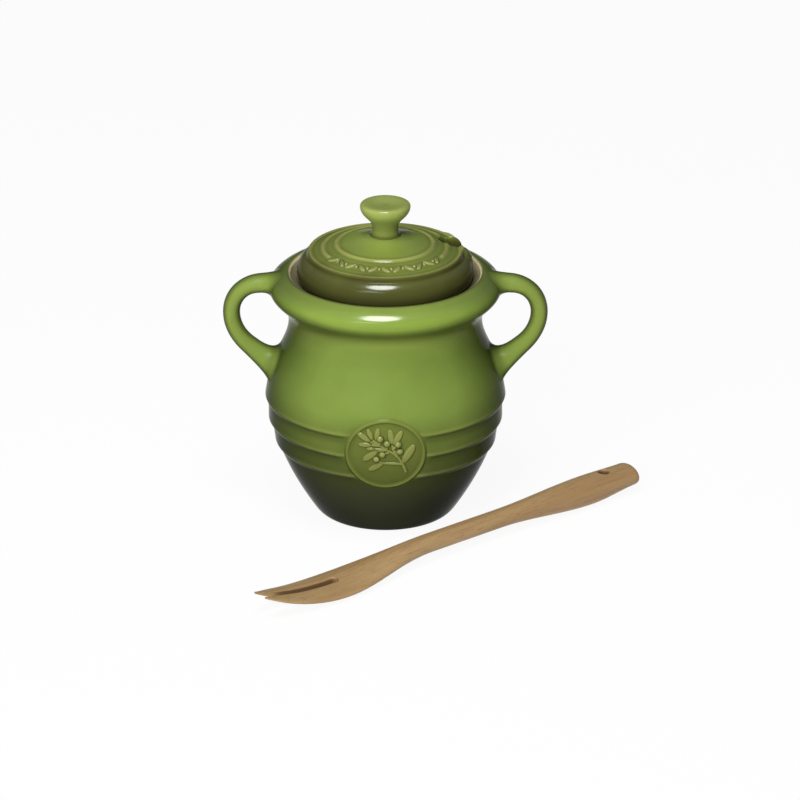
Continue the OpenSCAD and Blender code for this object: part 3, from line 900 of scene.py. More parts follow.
@dataclass
class JarBody:
    """Turned body of the jar, with rolled bands and a ledge for the lid."""

    outline: Outline
    medallion: Medallion
    steps: int = 240
    field: tuple[float, float] = (0.6, 3.0)
    pocket: tuple[float, float] = (0.4, 1.8)
    pocket_share: float = 0.7
    lip_w: float = 1.5
    lip_h: float = 2.2

    def build(self) -> None:
        """Spin the body, level its bands and sink it under the medallion, and dress it."""
        bm = turned(self.outline.section(), self.steps)
        skin_t = 0.5
        for vert in bm.verts:
            p = vert.co / MM
            past = self.medallion.reach(p) - self.medallion.radius
            r = radius(p)
            plain = self.outline.plain_r(p.z)
            if past > sum(self.field) or r < plain - skin_t:
                continue
            level = mix(plain, r, ease((past - self.field[0]) / self.field[1]))
            sunk = plain - self.medallion.sink * self.pocket_share
            k = mix(level, sunk, ease((self.pocket[0] - past) / self.pocket[1])) / r
            vert.co.x, vert.co.y = vert.co.x * k, vert.co.y * k
        piece = mark(to_object(bm, "jar_shell"), self.rule)
        dress(piece, JAR_GLAZE.material(), Body.JAR, Slot.GREEN, ["jar_body"])

    def rule(self, p: Vector) -> Marks:
        """Thin glaze on the bands' lower crests, pools in the grooves, painted shade under the collar, and
        bare clay inside the mouth that darkens downwards as painted shade.

        Args:
            p: Point of the body, in millimetres.

        Returns:
            The marks of that point.
        """
        o = self.outline
        r = radius(p)
        lip_r = o.mouth_r + self.lip_w
        inside = r < lip_r and p.z > o.seat_z - 1 or r < o.plain_r(p.z) - o.wall / 2
        if inside and p.z > 1:
            # Painted shade: below the lip the mouth's wall turns from bare clay to the darker pooled colour
            deep_shade = ease((o.rim_z - self.lip_h - p.z) / 2.4)
            return Marks(pool=deep_shade, bare=mix(1.0, 0.35, deep_shade) * ease((lip_r - r) / 1.2))
        fade = ease((p.z - 20) / 12)
        crest = sum(hump(p.z, z + o.band_crest, 1.0) for z in o.bands())
        pool = sum(hump(p.z, z - 0.7, 2.0) for z in o.bands())
        under = hump(p.z, o.bands()[-1] - 0.6, 1.6)
        # Painted shade: the hump at the neck darkens the glaze under the collar
        return Marks(crest=min(1.0, 0.34 * crest * fade + 0.25 * hump(p.z, o.rim_z, 0.8)),
                     pool=min(1.0, 0.4 * pool + 0.2 * under + 0.1 * hump(p.z, o.neck_z + 1, 4.0)))


@dataclass(frozen=True)
class Flare:
    """Width of the blend round an ear's root: outside and inside the loop, on its flanks, and more inside."""

    outer: float
    inner: float
    flank: float
    extra: float

    def width(self, turn: float) -> float:
        """Width of the blend at an angle round the ear."""
        across = self.outer if math.cos(turn) > 0 else self.inner
        return mix(across, self.flank, math.sin(turn) ** 2) + self.extra * max(0.0, -math.cos(turn))


@dataclass
class Ear:
    """Rounded ear handle, luted to the collar and to the shoulder."""

    outline: Outline
    side: Side
    reach: float = 71.5
    thick: float = 8.0
    wide: float = 11.0
    top_z: float = 111.6
    out_z: float = 98.0
    root_z: float = 70.5
    collar_out: float = 2.0
    root_out: float = 4.0
    root_up: float = 6.0
    top_pulls: tuple[Point, Point] = ((9.5, 1.6), (0.0, 8.0))
    low_pull: float = 9.5
    root_pull: Point = (7.0, 10.6)
    rings: int = 20
    sides: int = 36
    trim: tuple[int, int] = (2, 6)
    top_flare: Flare = Flare(3.0, 3.0, 8.0, 1.0)
    low_flare: Flare = Flare(0.8, 3.0, 7.0, 4.0)
    flare_steps: int = 8
    web: tuple[float, int] = (2.0, 13)
    rise: tuple[float, int] = (1.4, 10)

    def middle(self) -> list[Vector]:
        """Middle line of the right ear.

        Returns:
            Its points, from the collar to the shoulder.
        """
        o = self.outline
        root_x = o.plain_r(self.root_z) + self.root_out
        points = [(o.collar_r + self.collar_out, self.top_z), (self.reach, self.out_z),
                  (root_x, self.root_z + self.root_up)]
        last = (self.reach - self.root_pull[0] - root_x, self.root_pull[1] - self.root_up)
        pulls = (self.top_pulls, ((0.0, -self.low_pull), last))
        return [Vector((x, 0, z)) for x, z in curve(points, pulls, (self.rings, self.rings))]

    def meet(self, place: Vector, way: Vector) -> Vector:
        """Point where a straight line meets the jar, found by halving.

        Args:
            place: Start of the line.
            way: Its direction.

        Returns:
            The meeting point.
        """
        near, far = -10.0, 26.0
        for _ in range(24):
            half = (near + far) / 2
            p = place + way * half
            if radius(p) > self.outline.outer_r(p.z):
                near = half
            else:
                far = half
        return place + way * near

    def on_jar(self, p: Vector, sunk: float) -> Vector:
        """Point moved to the nearest place on the jar's outside, or below it.

        Args:
            p: Point near the jar.
            sunk: Depth below the surface.

        Returns:
            The moved point.
        """
        r = radius(p)
        highest = self.outline.rim_z - 0.4
        heights = [min(p.z + i / 8, highest) for i in range(-48, 49)]
        near, z = min(((self.outline.outer_r(z), z) for z in heights),
                      key=lambda q: math.hypot(q[0] - r, q[1] - p.z))
        k = (near - sunk) / r
        return Vector((p.x * k, p.y * k, z))

    def root(self, start: Sequence[Vector], before: Sequence[Vector], flare: Flare) -> list[list[Vector]]:
        """Rings that flare from the ear into the jar.

        Args:
            start: Last ring of the ear.
            before: Ring of the ear a little earlier.
            flare: Width of the blend.

        Returns:
            Rings from the ear to just below the jar's surface.
        """
        skin_t, buried, heart_share = 0.04, 1.5, 0.25
        corners = [self.meet(p, (p - q).normalized()) for p, q in zip(start, before)]
        heart = sum(corners, Vector()) / len(corners)
        n = self.flare_steps
        rings: list[list[Vector]] = [[] for _ in range(n + 1)]
        for p, corner, turn in zip(start, corners, turns(self.sides)):
            slope = (self.outline.outer_r(corner.z + 1) - self.outline.outer_r(corner.z - 1)) / 2
            flat = Vector((corner.x, corner.y, 0)).normalized()
            normal = Vector((flat.x, flat.y, -slope)).normalized()
            spread = corner - heart
            spread = (spread - normal * spread.dot(normal)).normalized()
            end = self.on_jar(corner + spread * flare.width(turn), skin_t)
            for i, t in enumerate((i + 1) / n for i in range(n)):
                rings[i].append(p * (1 - t) ** 2 + corner * (2 * t * (1 - t)) + end * t * t)
            rings[n].append(self.on_jar(corner.lerp(heart, heart_share), buried))
        return rings

    def sweep(self) -> list[list[Vector]]:
        """Rings of the right ear with its two roots.

        Returns:
            The rings in order, from the collar to the shoulder.
        """
        line = self.middle()
        rings = []
        for i, place in enumerate(line):
            way = heading(line, i)
            out = Vector((-way.z, 0, way.x))
            web = self.web[0] * max(0.0, 1 - (len(line) - 1 - i) / self.web[1]) ** 2
            rise = self.rise[0] * max(0.0, 1 - i / self.rise[1]) ** 2
            rings.append([place + out * ((self.thick / 2 + (web if math.cos(s) < 0 else rise)) * math.cos(s))
                          + Vector((0, self.wide / 2 * math.sin(s), 0)) for s in turns(self.sides)])
        first, last = self.trim
        kept = rings[first:len(rings) - last]
        level = line[first + 2] - line[first]
        top = self.root(kept[0], [p + level for p in kept[0]], self.top_flare)
        return [*top[::-1], *kept, *self.root(kept[-1], kept[-3], self.low_flare)]

    def build(self) -> None:
        """Skin the ear, turn it to its side and dress it."""
        bm = bmesh.new()
        skin(bm, [[p * MM for p in row] for row in self.sweep()])
        bmesh.ops.scale(bm, vec=(self.side.value, 1, 1), verts=bm.verts)
        cap(bm)
        outward(bm)

        def rule(p: Vector) -> Marks:
            """Glaze that runs a little thin along the ear's outer back, and darker round its roots,
            most at the lower one.
            """
            free = radius(p) - self.outline.outer_r(p.z)
            return Marks(crest=0.25 * ease((abs(p.x) - self.reach) / (self.thick / 2)),
                         pool=mix(0.4, 0.12, ease((p.z - 80) / 20)) * hump(free, 2.4, 1.3))

        name = self.side.name.lower()
        piece = mark(to_object(bm, f"{name}_ear"), rule)
        dress(piece, EAR_GLAZE.material(), Body.JAR, Slot.GREEN, [f"{name}_handle"])


@dataclass
class Lid:
    """Domed lid with raised rings, a rolled edge, a notch for the fork, a knob and a garland."""

    outline: Outline
    gap: float = 3.0
    lid_z: float = 114.1
    edge_h: float = 4.9
    plate_h: float = 9.1
    edge_roll: float = 5.9
    edge_in: float = 1.8
    edge_pulls: Pulls = (((1.2, -0.25), (-0.8, 0.7)), ((1.6, -0.7), (0.0, 3.8)), ((0.0, -2.1), (1.2, 1.0)))
    cove: Point = (1.7, -1.9)
    slope: float = 0.29
    ring_count: int = 3
    ring_step: float = 6.3
    ring_h: float = 0.75
    ring_w: float = 3.0
    thick: float = 4.5
    flange_h: float = 7.0
    flange_t: float = 4.2
    flange_gap: float = 0.6
    flange_soft: float = 0.8
    hollow_run: float = 6.0
    hollow_up: float = 2.0
    notch_w: float = 12.0
    notch_l: float = 14.7
    notch_lip: float = 2.0
    notch_turn: float = 18.0
    notch_round: tuple[float, float] = (0.8, 1.0)
    notch_widen: tuple[float, float] = (27.5, 4.5)
    notch_fill: float = 2.0
    fill_side: tuple[float, float] = (9.0, 5.0)
    knob_r: float = 11.7
    knob_h: float = 15.4
    knob_foot: Point = (0.9, -0.15)
    knob_pulls: Pulls = (((-1.0, 0.45), (0.0, -1.8)), ((0.2, 4.8), (-0.2, -4.6)), ((0.0, 1.4), (1.4, 0.0)),
                         ((-2.6, 0.0), (4.7, 0.0)))
    stem_r: float = 6.0
    stem_h: float = 3.4
    brim_w: float = 2.4
    brim_h: float = 1.8
    pad_r: float = 6.4
    dish: float = 1.0
    leaf_l: float = 5.8
    leaf_w: float = 2.7
    leaf_count: int = 11
    leaf_step: float = 11.0
    leaf_up: float = 0.25
    leaf_lean: float = 45.0
    berry_r: float = 0.85
    berry_up: float = 0.15
    steps: int = 216

    def __post_init__(self) -> None:
        """Work out the radii and heights that follow from the sizes."""
        self.edge_r = self.outline.mouth_r - self.gap
        self.plate_r = self.edge_r - self.edge_roll
        self.edge_z = self.lid_z + self.edge_h
        self.plate_z = self.edge_z + self.plate_h
        self.flange_r = self.outline.throat_r - self.flange_gap
        self.garland_r = self.plate_r - self.ring_step
        self.garland_half = self.leaf_step * (self.leaf_count - 1) / 2 + 8
        self.knob_z = self.dome_z(0) + 0.1

    def dome_z(self, r: float) -> float:
        """Height of the plain dome at a radius."""
        return self.plate_z + self.slope * (self.plate_r - max(r, self.pad_r))

    def ring_rise(self, r: float, i: int) -> float:
        """Height of raised ring i, counted in from the edge, at a radius."""
        t = (r - self.plate_r + i * self.ring_step) / (self.ring_w / 2)
        return self.ring_h * math.cos(math.pi / 2 * t) ** 2 if abs(t) < 1 else 0.0

    def ringed_z(self, r: float) -> float:
        """Height of the dome with its rings at a radius."""
        return self.dome_z(r) + max(self.ring_rise(r, k) for k in range(self.ring_count))

    def in_garland(self, p: Vector) -> float:
        """Share of the garland's place at a point, from 0 to 1 across its ends."""
        turn = abs(math.degrees(math.atan2(p.x, -p.y)))
        return ease((self.garland_half - turn) / 4 + 0.5)

    def section(self) -> Line:
        """Closed section of the lid.

        Returns:
            Its points, from the dome's middle round to the hollow's middle.
        """
        n = 110
        r, z = self.plate_r, self.plate_z
        top = [(x, self.ringed_z(x)) for x in (r * i / n for i in range(n + 1))]
        edge = curve([(r, z + self.ring_h), (r + self.cove[0], z + self.cove[1]), (self.edge_r, self.edge_z),
                      (self.edge_r - self.edge_in, self.lid_z)], self.edge_pulls, (12, 18, 8))
        soft, low = self.flange_soft, self.lid_z - self.flange_h
        inner = self.flange_r - self.flange_t
        flange = [(self.flange_r, self.lid_z), (self.flange_r, low + soft), (self.flange_r - soft, low),
                  (inner + soft, low), (inner, low + soft)]
        run = self.hollow_run
        start = (inner, self.lid_z + self.hollow_up)
        end = (inner - run, self.dome_z(inner - run) - self.thick)
        pulls = ((0.0, z - self.thick - start[1]), (run, self.dome_z(inner) - self.dome_z(inner - run)))
        roof = self.dome_z(0) - self.thick
        return [*top, *edge[1:], *flange, *curve([start, end], (pulls,), (8,)), (self.pad_r, roof), (0, roof)]

    @cached_property
    def upper_edge(self) -> np.ndarray:
        """Radii and heights of the rolled edge's upper side."""
        return np.array([p for p in self.section() if p[1] > self.edge_z and p[0] >= self.plate_r]).T

    def fill(self, r: float) -> float:
        """Height by which the rolled edge is filled up beside the notch, at a radius."""
        return self.notch_fill * ease((r - self.plate_r) / 1.6) * ease((self.edge_r - r) / 1.1)

    def by_notch(self, p: Vector) -> tuple[float, float]:
        """Distances of a point along the notch, from its inner end, and across it."""
        way = math.radians(self.notch_turn)
        return (p.x * math.cos(way) + p.y * math.sin(way) - self.edge_r + self.notch_l,
                abs(p.y * math.cos(way) - p.x * math.sin(way)))

    def filled(self, p: Vector) -> float:
        """Share of the filled part beside the notch at a point, from 0 to 1."""
        along, across = self.by_notch(p)
        side, fade = self.fill_side
        return ease((self.notch_w / 2 + side - across) / fade) if along > 0 else 0.0

    def cap_z(self, place: Vector) -> float:
        """Height of the lid's top over a place in plan, beside the notch."""
        r = min(place.length, self.edge_r - 0.3)
        top = self.ringed_z(r) if r <= self.plate_r else float(np.interp(r, *self.upper_edge))
        return top + self.fill(r)

    def notch_line(self) -> list[Vector]:
        """Notch in plan along +X.

        Returns:
            Its points, from one lip round its inner end to the other.
        """
        half, soft = self.notch_w / 2, self.notch_lip
        inner = self.edge_r - self.notch_l + half
        mouth = math.sqrt(self.edge_r**2 - (half + soft) ** 2) - soft
        lip = [Vector((mouth + soft * math.sin(a), half + soft * (1 - math.cos(a))))
               for a in (math.radians(90 * i / 8) for i in range(9))]
        start = Vector((self.edge_r + 6, lip[-1].y))
        side = [Vector((mix(mouth, inner, i / 6), half)) for i in range(1, 6)]
        end = [Vector((inner - half * math.sin(a), half * math.cos(a)))
               for a in (math.radians(180 * i / 20) for i in range(21))]
        first = [start, *reversed(lip), *side]
        return [*first, *end, *[Vector((p.x, -p.y)) for p in reversed(first)]]

    def notch(self) -> bpy.types.Object:
        """Tool that cuts the notch, with walls that round over into the lid's top.

        Returns:
            The tool as an object.
        """
        line = self.notch_line()
        ways = [(b - a).normalized() for a, b in zip([line[-1], *line], [*line[1:], line[0]])]
        outs = [Vector((way.y, -way.x)) for way in ways]
        widen_x, widen_run = self.notch_widen
        rounds = [mix(*self.notch_round, ease((p.x - widen_x) / widen_run)) for p in line]
        levels = (self.lid_z - self.flange_h - 2, self.lid_z - 0.4, self.lid_z + 0.6, self.lid_z + 6)
        rows = [[Vector((p.x, p.y, min(z, self.cap_z(p) - 4))) * MM for p in line] for z in levels]
        for a in (math.radians(degrees) for degrees in (0, 14, 28, 42, 56, 68, 78)):
            row = []
            for p, out, r in zip(line, outs, rounds):
                q = p + out * (r * (1 - math.cos(a)))
                row.append(Vector((q.x, q.y, self.cap_z(q) - r * (1 - math.sin(a)))) * MM)
            rows.append(row)
        rows.append([p + Vector((out.x, out.y, 0.9)) * (0.6 * MM) for p, out in zip(rows[-1], outs)])
        rows.append([Vector((p.x, p.y, (self.plate_z + 14) * MM)) for p in rows[-1]])
        bm = bmesh.new()
        skin(bm, rows)
        cap(bm)
        outward(bm)
        turn = Matrix.Rotation(math.radians(self.notch_turn), 3, "Z")
        bmesh.ops.rotate(bm, verts=bm.verts, cent=(0, 0, 0), matrix=turn)
        return to_object(bm, "notch_tool")

    def plate_rule(self, p: Vector) -> Marks:
        """Thin glaze on the rings, pools between them, darker in the cove, painted shade towards the notch's
        inner end, bare clay below.

        Args:
            p: Point of the lid, in millimetres.

        Returns:
            The marks of that point.
        """
        r = radius(p)
        along, across = self.by_notch(p)
        in_notch = along > -1 and across < self.notch_w / 2 + 0.2
        hollow = r < self.flange_r - 2 and p.z < self.dome_z(r) - self.thick / 2 and not in_notch
        if p.z < self.lid_z + 0.4 or hollow:
            return Marks(bare=1.0)
        rise = [self.ring_rise(r, k) for k in range(self.ring_count)]
        rise[1] *= 1 - self.in_garland(p)
        feet = [self.plate_r - k * self.ring_step + side for k in range(self.ring_count) for side in (-2, 2)]
        foot = max(hump(r, place, 0.7) for place in feet) if r < self.plate_r else 0.0
        cove = hump(r, self.plate_r + 1.0, 0.75) if p.z > self.edge_z + 2 else 0.0
        # Painted shade deep in the notch towards its inner end
        deep_shade = ease((6 - along) / 3) * ease((self.dome_z(r) - p.z) / 2.5) if in_notch else 0.0
        on_top = r < self.plate_r + 1.0 and p.z > self.dome_z(r) - 0.5 and not in_notch
        return Marks(crest=0.8 * ease(2.0 * max(rise) / self.ring_h) if on_top else 0.0,
                     pool=min(1.0, 0.2 * foot + 0.85 * cove * (1 - self.filled(p)) + deep_shade))

    def plate(self) -> bpy.types.Object:
        """Lid with its rings and notch.

        Returns:
            The lid as an object.
        """
        bm = turned(self.section(), self.steps)
        for vert in bm.verts:
            p = vert.co / MM
            r = radius(p)
            if p.z > self.plate_z:
                vert.co.z -= self.ring_rise(r, 1) * self.in_garland(p) * MM
            if p.z > self.edge_z:
                vert.co.z += self.fill(r) * self.filled(p) * MM
        piece = to_object(bm, "lid_plate")
        cut(piece, self.notch())
        return mark(piece, self.plate_rule)

    def knob(self) -> bpy.types.Object:
        """Waisted knob with a dished top.

        Returns:
            The knob as an object.
        """
        z, top, k = self.knob_z, self.knob_z + self.knob_h, self.knob_r
        foot_w, foot_z = self.knob_foot
        points = [(self.pad_r + foot_w, z + foot_z), (self.stem_r, z + self.stem_h), (k, top - self.brim_h),
                  (k - self.brim_w, top), (0, top - self.dish)]
        bm = turned([(0, z + foot_z), *curve(points, self.knob_pulls, (10, 22, 10, 14))], 120)

        def rule(p: Vector) -> Marks:
            """Thin glaze on the brim, painted shade round the stem and its foot, pooled glaze in the dish."""
            r = radius(p)
            # Painted shade on the stem and at its foot
            return Marks(crest=0.55 * hump(r, k - 0.7, 0.8) * ease((p.z - top + 3) / 2),
                         pool=0.6 * hump(p.z, z, 1.2) + 0.45 * hump(p.z, z + 4, 3.5)
                         + 0.2 * ease((4 - r) / 4) * (p.z > top - 2))

        return mark(to_object(bm, "knob"), rule)

    def garland(self) -> bpy.types.Object:
        """Leaves and berries in turn along the front of the middle ring.

        Returns:
            The garland as one object.
        """
        bm = bmesh.new()
        last = (self.leaf_count - 1) // 2
        step = math.radians(self.leaf_step) * self.garland_r
        for i in range(-last, last + 1):
            lean = math.radians(self.leaf_lean if i % 2 == 0 else 180 - self.leaf_lean)
            half = Vector((math.cos(lean), math.sin(lean))) * self.leaf_l / 2
            at = Vector((i * step, 0))
            add_leaf(bm, at - half, at + half, self.leaf_w / 2, self.ring_h + self.leaf_up)
            if i < last:
                add_berry(bm, (at.x + step / 2, 0, self.berry_up), self.berry_r, 14, 8)
        for vert in bm.verts:
            turn, r = vert.co.x / self.garland_r, self.garland_r + vert.co.y
            vert.co = Vector((r * math.sin(turn), -r * math.cos(turn), self.dome_z(r) + vert.co.z)) * MM
        outward(bm)

        def rule(p: Vector) -> Marks:
            """Thin glaze on the leaves' backs, pooled glaze at their feet."""
            high = p.z - self.dome_z(radius(p))
            return Marks(crest=0.95 * ease((high - 0.2) / 0.5), pool=0.6 * ease((0.3 - high) / 0.4))

        return mark(to_object(bm, "lid_garland_relief"), rule)

    def build(self) -> None:
        """Make the lid's three pieces and dress them."""
        dress(self.plate(), LID_GLAZE.material(), Body.LID, Slot.GREEN, ["lid"], sharp=38.0)
        dress(self.knob(), LID_GLAZE.material(), Body.LID, Slot.GREEN, ["lid_knob"])
        dress(self.garland(), RELIEF_GLAZE.material(), Body.LID, Slot.RELIEF, ["lid_garland"])


@dataclass
class Fork:
    """Slotted beech fork that lies on the table beside the jar.

    The end, grip, waist, head and tip are each a width and a thickness.
    """

    length: float = 226.0
    end: tuple[float, float] = (15.8, 9.9)
    grip: tuple[float, float] = (17.0, 13.5)
    waist: tuple[float, float] = (10.4, 8.4)
    head: tuple[float, float] = (26.0, 6.0)
    tip: tuple[float, float] = (13.5, 1.7)
    waist_from: float = 84.0
    waist_to: float = 126.0
    grip_at: float = 29.0
    head_run: float = 42.0
    end_rise: float = 2.8
    waist_rise: float = 3.6
    tip_rise: float = 10.0
    end_round: float = 2.6
    end_close: float = 0.95
    slot_l: float = 45.0
    slot_w: float = 4.0
    slot_edge: tuple[float, float] = (0.9, 0.35)
    point_run: float = 13.0
    point_at: float = 0.38
    point_close: float = 0.78
    point_thin: float = 0.4
    hang_d: float = 5.0
    hang_in: float = 18.0
    hang_edge: tuple[Point, ...] = ((1.6, 3.0), (0.7, -0.1), (0.0, -1.2))
    turn: float = 40.0
    lead: float = 102.0
    away: float = 60.0
    sides: int = 40

    def __post_init__(self) -> None:
        """Work out where the head and the slot start, and the fork's place beside the jar."""
        self.head_at = self.length - self.head_run
        self.slot_at = self.length - self.slot_l
        self.place = (Matrix.Rotation(math.radians(self.turn), 4, "Z")
                      @ Matrix.Translation(Vector((self.lead, -self.away, 0)))
                      @ Matrix.Rotation(math.pi, 4, "Z"))
        self.back = self.place.inverted()

    def size(self, u: float, end: float, grip: float, waist: float, head: float, tip: float) -> float:
        """A size at a distance along the fork.

        Args:
            u: Distance from the grip's end.
            end: Size at that end.
            grip: Size at the grip's middle.
            waist: Size at the waist.
            head: Size where the head is widest.
            tip: Size at the tips.

        Returns:
            The size, smooth from one to the next.
        """
        if u < self.grip_at:
            return mix(end, grip, ease(u / self.grip_at))
        if u < self.waist_to:
            return mix(grip, waist, ease((u - self.grip_at) / (self.waist_from - self.grip_at)))
        if u < self.head_at:
            return mix(waist, head, ease((u - self.waist_to) / (self.head_at - self.waist_to)))
        return mix(tip, head, math.cos(math.pi / 2 * (u - self.head_at) / self.head_run))

    def full(self, u: float) -> list[float]:
        """Width and thickness at a distance along the fork, before its end is rounded."""
        return [self.size(u, *sizes) for sizes in zip(self.end, self.grip, self.waist, self.head, self.tip)]

    def half_sizes(self, u: float) -> tuple[float, float]:
        """Half of the width and of the thickness at a distance along the fork."""
        k = math.sqrt(1 - ((1 - u / self.end_round) * self.end_close) ** 2) if u < self.end_round else 1.0
        wide, thick = self.full(u)
        return k * wide / 2, k * thick / 2

    def mid_z(self, u: float) -> float:
        """Height of the middle line at a distance along the fork."""
        if u < self.head_at:
            under = self.size(u, self.end_rise, 0, self.waist_rise, 0, 0)
        else:
            under = self.tip_rise * ((u - self.head_at) / self.head_run) ** 2
        return under + self.full(u)[1] / 2

    def whole(self, u: float) -> list[Vector]:
        """Ring of the fork's shaft at a distance along it."""
        a, b = self.half_sizes(u)
        mid = self.mid_z(u)
        return [Vector((u, a * math.cos(s), mid + b * math.sin(s))) * MM for s in turns(self.sides)]

    def tine(self, u: float, sign: int) -> list[Vector]:
        """Ring of one tine: its outside from top to bottom, then its wall along the slot.

        Args:
            u: Distance along the fork.
            sign: 1 or -1, the side of the slot.

        Returns:
            Points of the ring in order.
        """
        a, b = self.half_sizes(u)
        mid = self.mid_z(u)
        r = self.slot_w / 2
        run = min(r, u - self.slot_at)
        gap = math.sqrt(max(0.0, r * r - (r - run) ** 2))
        most, share = self.slot_edge
        edge = min(most, share * b) * min(1.0, gap / r)
        bevel = 0.29 * edge
        first = math.acos(min(1.0, (gap + edge) / a))
        high = b * math.sin(first)
        n = self.sides // 2
        points = [(a * math.cos(s), b * math.sin(s)) for s in (first * (1 - 2 * k / n) for k in range(n + 1))]
        points += [(gap + bevel, -high + bevel), (gap, -high + edge), (gap, 0.0), (gap, high - edge),
                   (gap + bevel, high - bevel)]
        last = max(0.0, (u - self.length + self.point_run) / self.point_run) ** 2
        heart = mix(gap, a, self.point_at)
        close, thin = self.point_close * last, 1 - self.point_thin * last
        return [Vector((u, sign * mix(y, heart, close), mid + z * thin)) * MM for y, z in points]

    def hole(self) -> bpy.types.Object:
        """Tool that drills the hanging hole, with softened edges.

        Returns:
            The tool as an object.
        """
        mid, half = self.mid_z(self.hang_in), self.full(self.hang_in)[1] / 2
        edge = [(self.hang_d / 2 + out, half + up) for out, up in self.hang_edge]
        tall = edge[0][1]
        line = [(0, mid - tall), *[(r, mid - z) for r, z in edge], *[(r, mid + z) for r, z in edge[::-1]],
                (0, mid + tall)]
        bm = turned(line, 40)
        bmesh.ops.translate(bm, verts=bm.verts, vec=(self.hang_in * MM, 0, 0))
        return to_object(bm, "hole_tool")

    def blank(self) -> BMesh:
        """Shaft and tines as one closed skin, along +X.

        Returns:
            The skin before the hole is drilled.
        """
        bm = bmesh.new()
        n, split = 86, self.slot_at
        shaft = [0.0, 0.15, 0.5, 1.0, 1.8, *[mix(self.end_round, split, i / n) for i in range(n + 1)]]
        verts = skin(bm, [self.whole(u) for u in shaft])
        quarter = self.sides // 4
        top, low = verts[quarter], verts[3 * quarter]
        edge = bm.edges.new((top, low))
        wall: list[BMVert] = []
        for i in range(5):
            edge, made = bmesh.utils.edge_split(edge, low, 1 - 1 / (6 - i))
            wall.append(made)
            edge = bm.edges.get((made, low))
        tail = [split + d for d in (0.15, 0.5, 1.0, 1.6, 2.2, 3.0)]
        tail += [mix(split + 4, self.length - 3, i / 30) for i in range(31)]
        tail += [self.length - d for d in (2.2, 1.4, 0.8, 0.3, 0.0)]
        for sign in (1, -1):
            loop = [verts[(quarter - sign * k) % self.sides] for k in range(2 * quarter + 1)] + wall[::-1]
            for u in tail:
                loop = grow(bm, loop, self.tine(u, sign))
        cap(bm)
        outward(bm)
        return bm

    def rule(self, p: Vector) -> Marks:
        """Scorched walls in the hole and in the slot, partly painted shade.

        Args:
            p: Point of the fork where it lies, in millimetres.

        Returns:
            The marks of that point.
        """
        q = self.back @ p
        hole = math.hypot(q.x - self.hang_in, q.y) - self.hang_d / 2
        wall = abs(q.y) - self.slot_w / 2 if q.x > self.slot_at - 0.3 else self.length
        half = self.half_sizes(max(0.0, q.x))[1]
        deep_shade = 1 - abs(q.z - self.mid_z(q.x)) / max(half, 0.2)
        # Scorch and painted shade: dark on the slot's wall, fading out near the fork's top and bottom faces
        slot = ease((0.25 - wall) / 0.25) * ease(deep_shade / 0.3) * ease((self.length - 4 - q.x) / 12)
        return Marks(pool=max(ease((0.5 - hole) / 0.4), 0.9 * slot))

    def build(self) -> None:
        """Shape the fork, drill it, lay it beside the jar and dress it."""
        piece = to_object(self.blank(), "beech_fork")
        cut(piece, self.hole())
        piece.data.transform(Matrix.Scale(MM, 4) @ self.place @ Matrix.Scale(1 / MM, 4))
        mark(piece, self.rule)
        dress(piece, Beech(turn=self.turn).material(), Body.FORK, Slot.BEECH, ["fork_grip", "fork_head"],
              sharp=42.0)


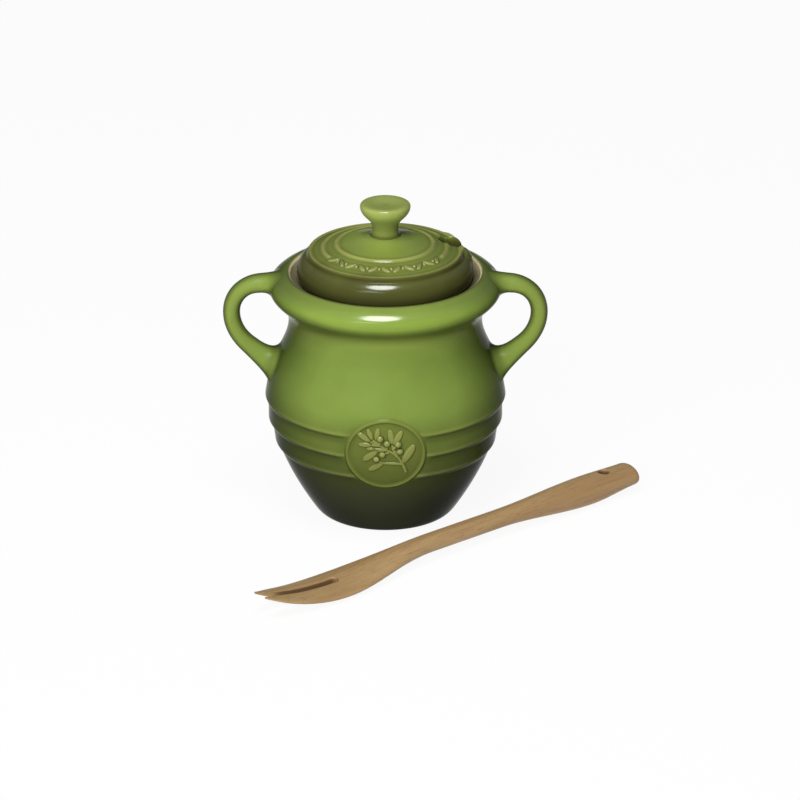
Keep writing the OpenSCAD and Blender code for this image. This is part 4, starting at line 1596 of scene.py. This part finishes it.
@dataclass
class Studio:
    """Pale floor, soft light and the camera, all in metres.

    Each lamp has a name, a place, a width and height, and a power in watts.
    """

    lens: float = 241.0
    sensor: float = 36.0
    distance: float = 2.5
    elevation: float = 22.4
    stand_z: float = 0.070
    aim: tuple[float, float, float] = (0.0068, 0.0, 0.0533)
    lamps: tuple = (
        ("key", (-0.07, -0.47, 1.22), (0.54, 0.70), 9.5),
        ("front_left", (-0.85, -2.35, 1.2), (1.8, 1.8), 58.0),
    )
    ambient: float = 0.13
    floor_r: float = 6.0
    paper: Colour = (0.90, 0.90, 0.90)
    whiteness: float = 0.93

    def floor(self) -> None:
        """Pale floor that looks white to the camera and keeps a soft shadow."""
        bm = bmesh.new()
        bmesh.ops.create_circle(bm, cap_ends=True, radius=self.floor_r, segments=96)
        piece = to_object(bm, "studio_floor")
        material, g = new_material("floor_paper")
        paper = g.add("BsdfDiffuse", {"Color": (*self.paper, 1.0)})
        white = g.add("Emission", {"Color": (1.0, 1.0, 1.0, 1.0), "Strength": 1.0})
        path = g.add("LightPath").outputs
        seen = g.math("MAXIMUM", path["Is Camera Ray"], path["Is Glossy Ray"])
        seen = g.math("MAXIMUM", seen, path["Is Transmission Ray"])
        both = g.add("MixShader", {0: g.math("MULTIPLY", seen, self.whiteness), 1: paper.outputs[0],
                                   2: white.outputs[0]})
        g.add("OutputMaterial", {0: both.outputs[0]})
        piece.data.materials.append(material)

    def sky(self) -> None:
        """Even grey light from all round."""
        world = bpy.data.worlds.new("studio_sky")
        bpy.context.scene.world = world
        world.use_nodes = True
        g = Graph(world.node_tree)
        grey = g.add("Background", {"Color": (1.0, 1.0, 1.0, 1.0), "Strength": self.ambient})
        g.add("OutputWorld", {0: grey.outputs[0]})

    def put(self, item: bpy.types.Object, place: Sequence[float], aim: Sequence[float]) -> None:
        """Put a lamp or the camera at a place and point it at another."""
        item.location = place
        item.rotation_euler = (Vector(aim) - Vector(place)).to_track_quat("-Z", "Y").to_euler()

    def lamp(self, name: str, place: Sequence[float], size: Sequence[float], watts: float) -> None:
        """Soft oval lamp that faces the jar.

        Args:
            name: Name of the lamp.
            place: Where it hangs.
            size: Its width and height.
            watts: Its power.
        """
        data = bpy.data.lights.new(name, "AREA")
        data.shape, data.size, data.size_y, data.energy = "ELLIPSE", size[0], size[1], watts
        self.put(place_object(name, data), place, (0, 0, self.stand_z))

    def camera(self) -> None:
        """Camera at the photograph's viewing angle."""
        data = bpy.data.cameras.new("camera")
        data.lens, data.sensor_width = self.lens, self.sensor
        data.clip_start, data.clip_end = 0.1, 50.0
        camera = place_object("camera", data)
        tilt = math.radians(self.elevation)
        away = Vector((0, -math.cos(tilt), math.sin(tilt))) * self.distance
        self.put(camera, away + Vector((0, 0, self.stand_z)), self.aim)
        bpy.context.scene.camera = camera

    def build(self) -> None:
        """Set up the camera, the floor, the sky and the lamps."""
        self.camera()
        self.floor()
        self.sky()
        for lamp in self.lamps:
            self.lamp(*lamp)
        bpy.context.scene.view_settings.view_transform = "Standard"


def main() -> None:
    """Build the studio, the jar, its lid and its fork."""
    logging.basicConfig(level=logging.INFO, format="%(message)s")
    Studio().build()
    outline = Outline()
    medallion = Medallion(outline)
    JarBody(outline, medallion).build()
    medallion.build()
    for side in Side:
        Ear(outline, side).build()
    Lid(outline).build()
    Fork().build()


if __name__ == "__main__":
    main()
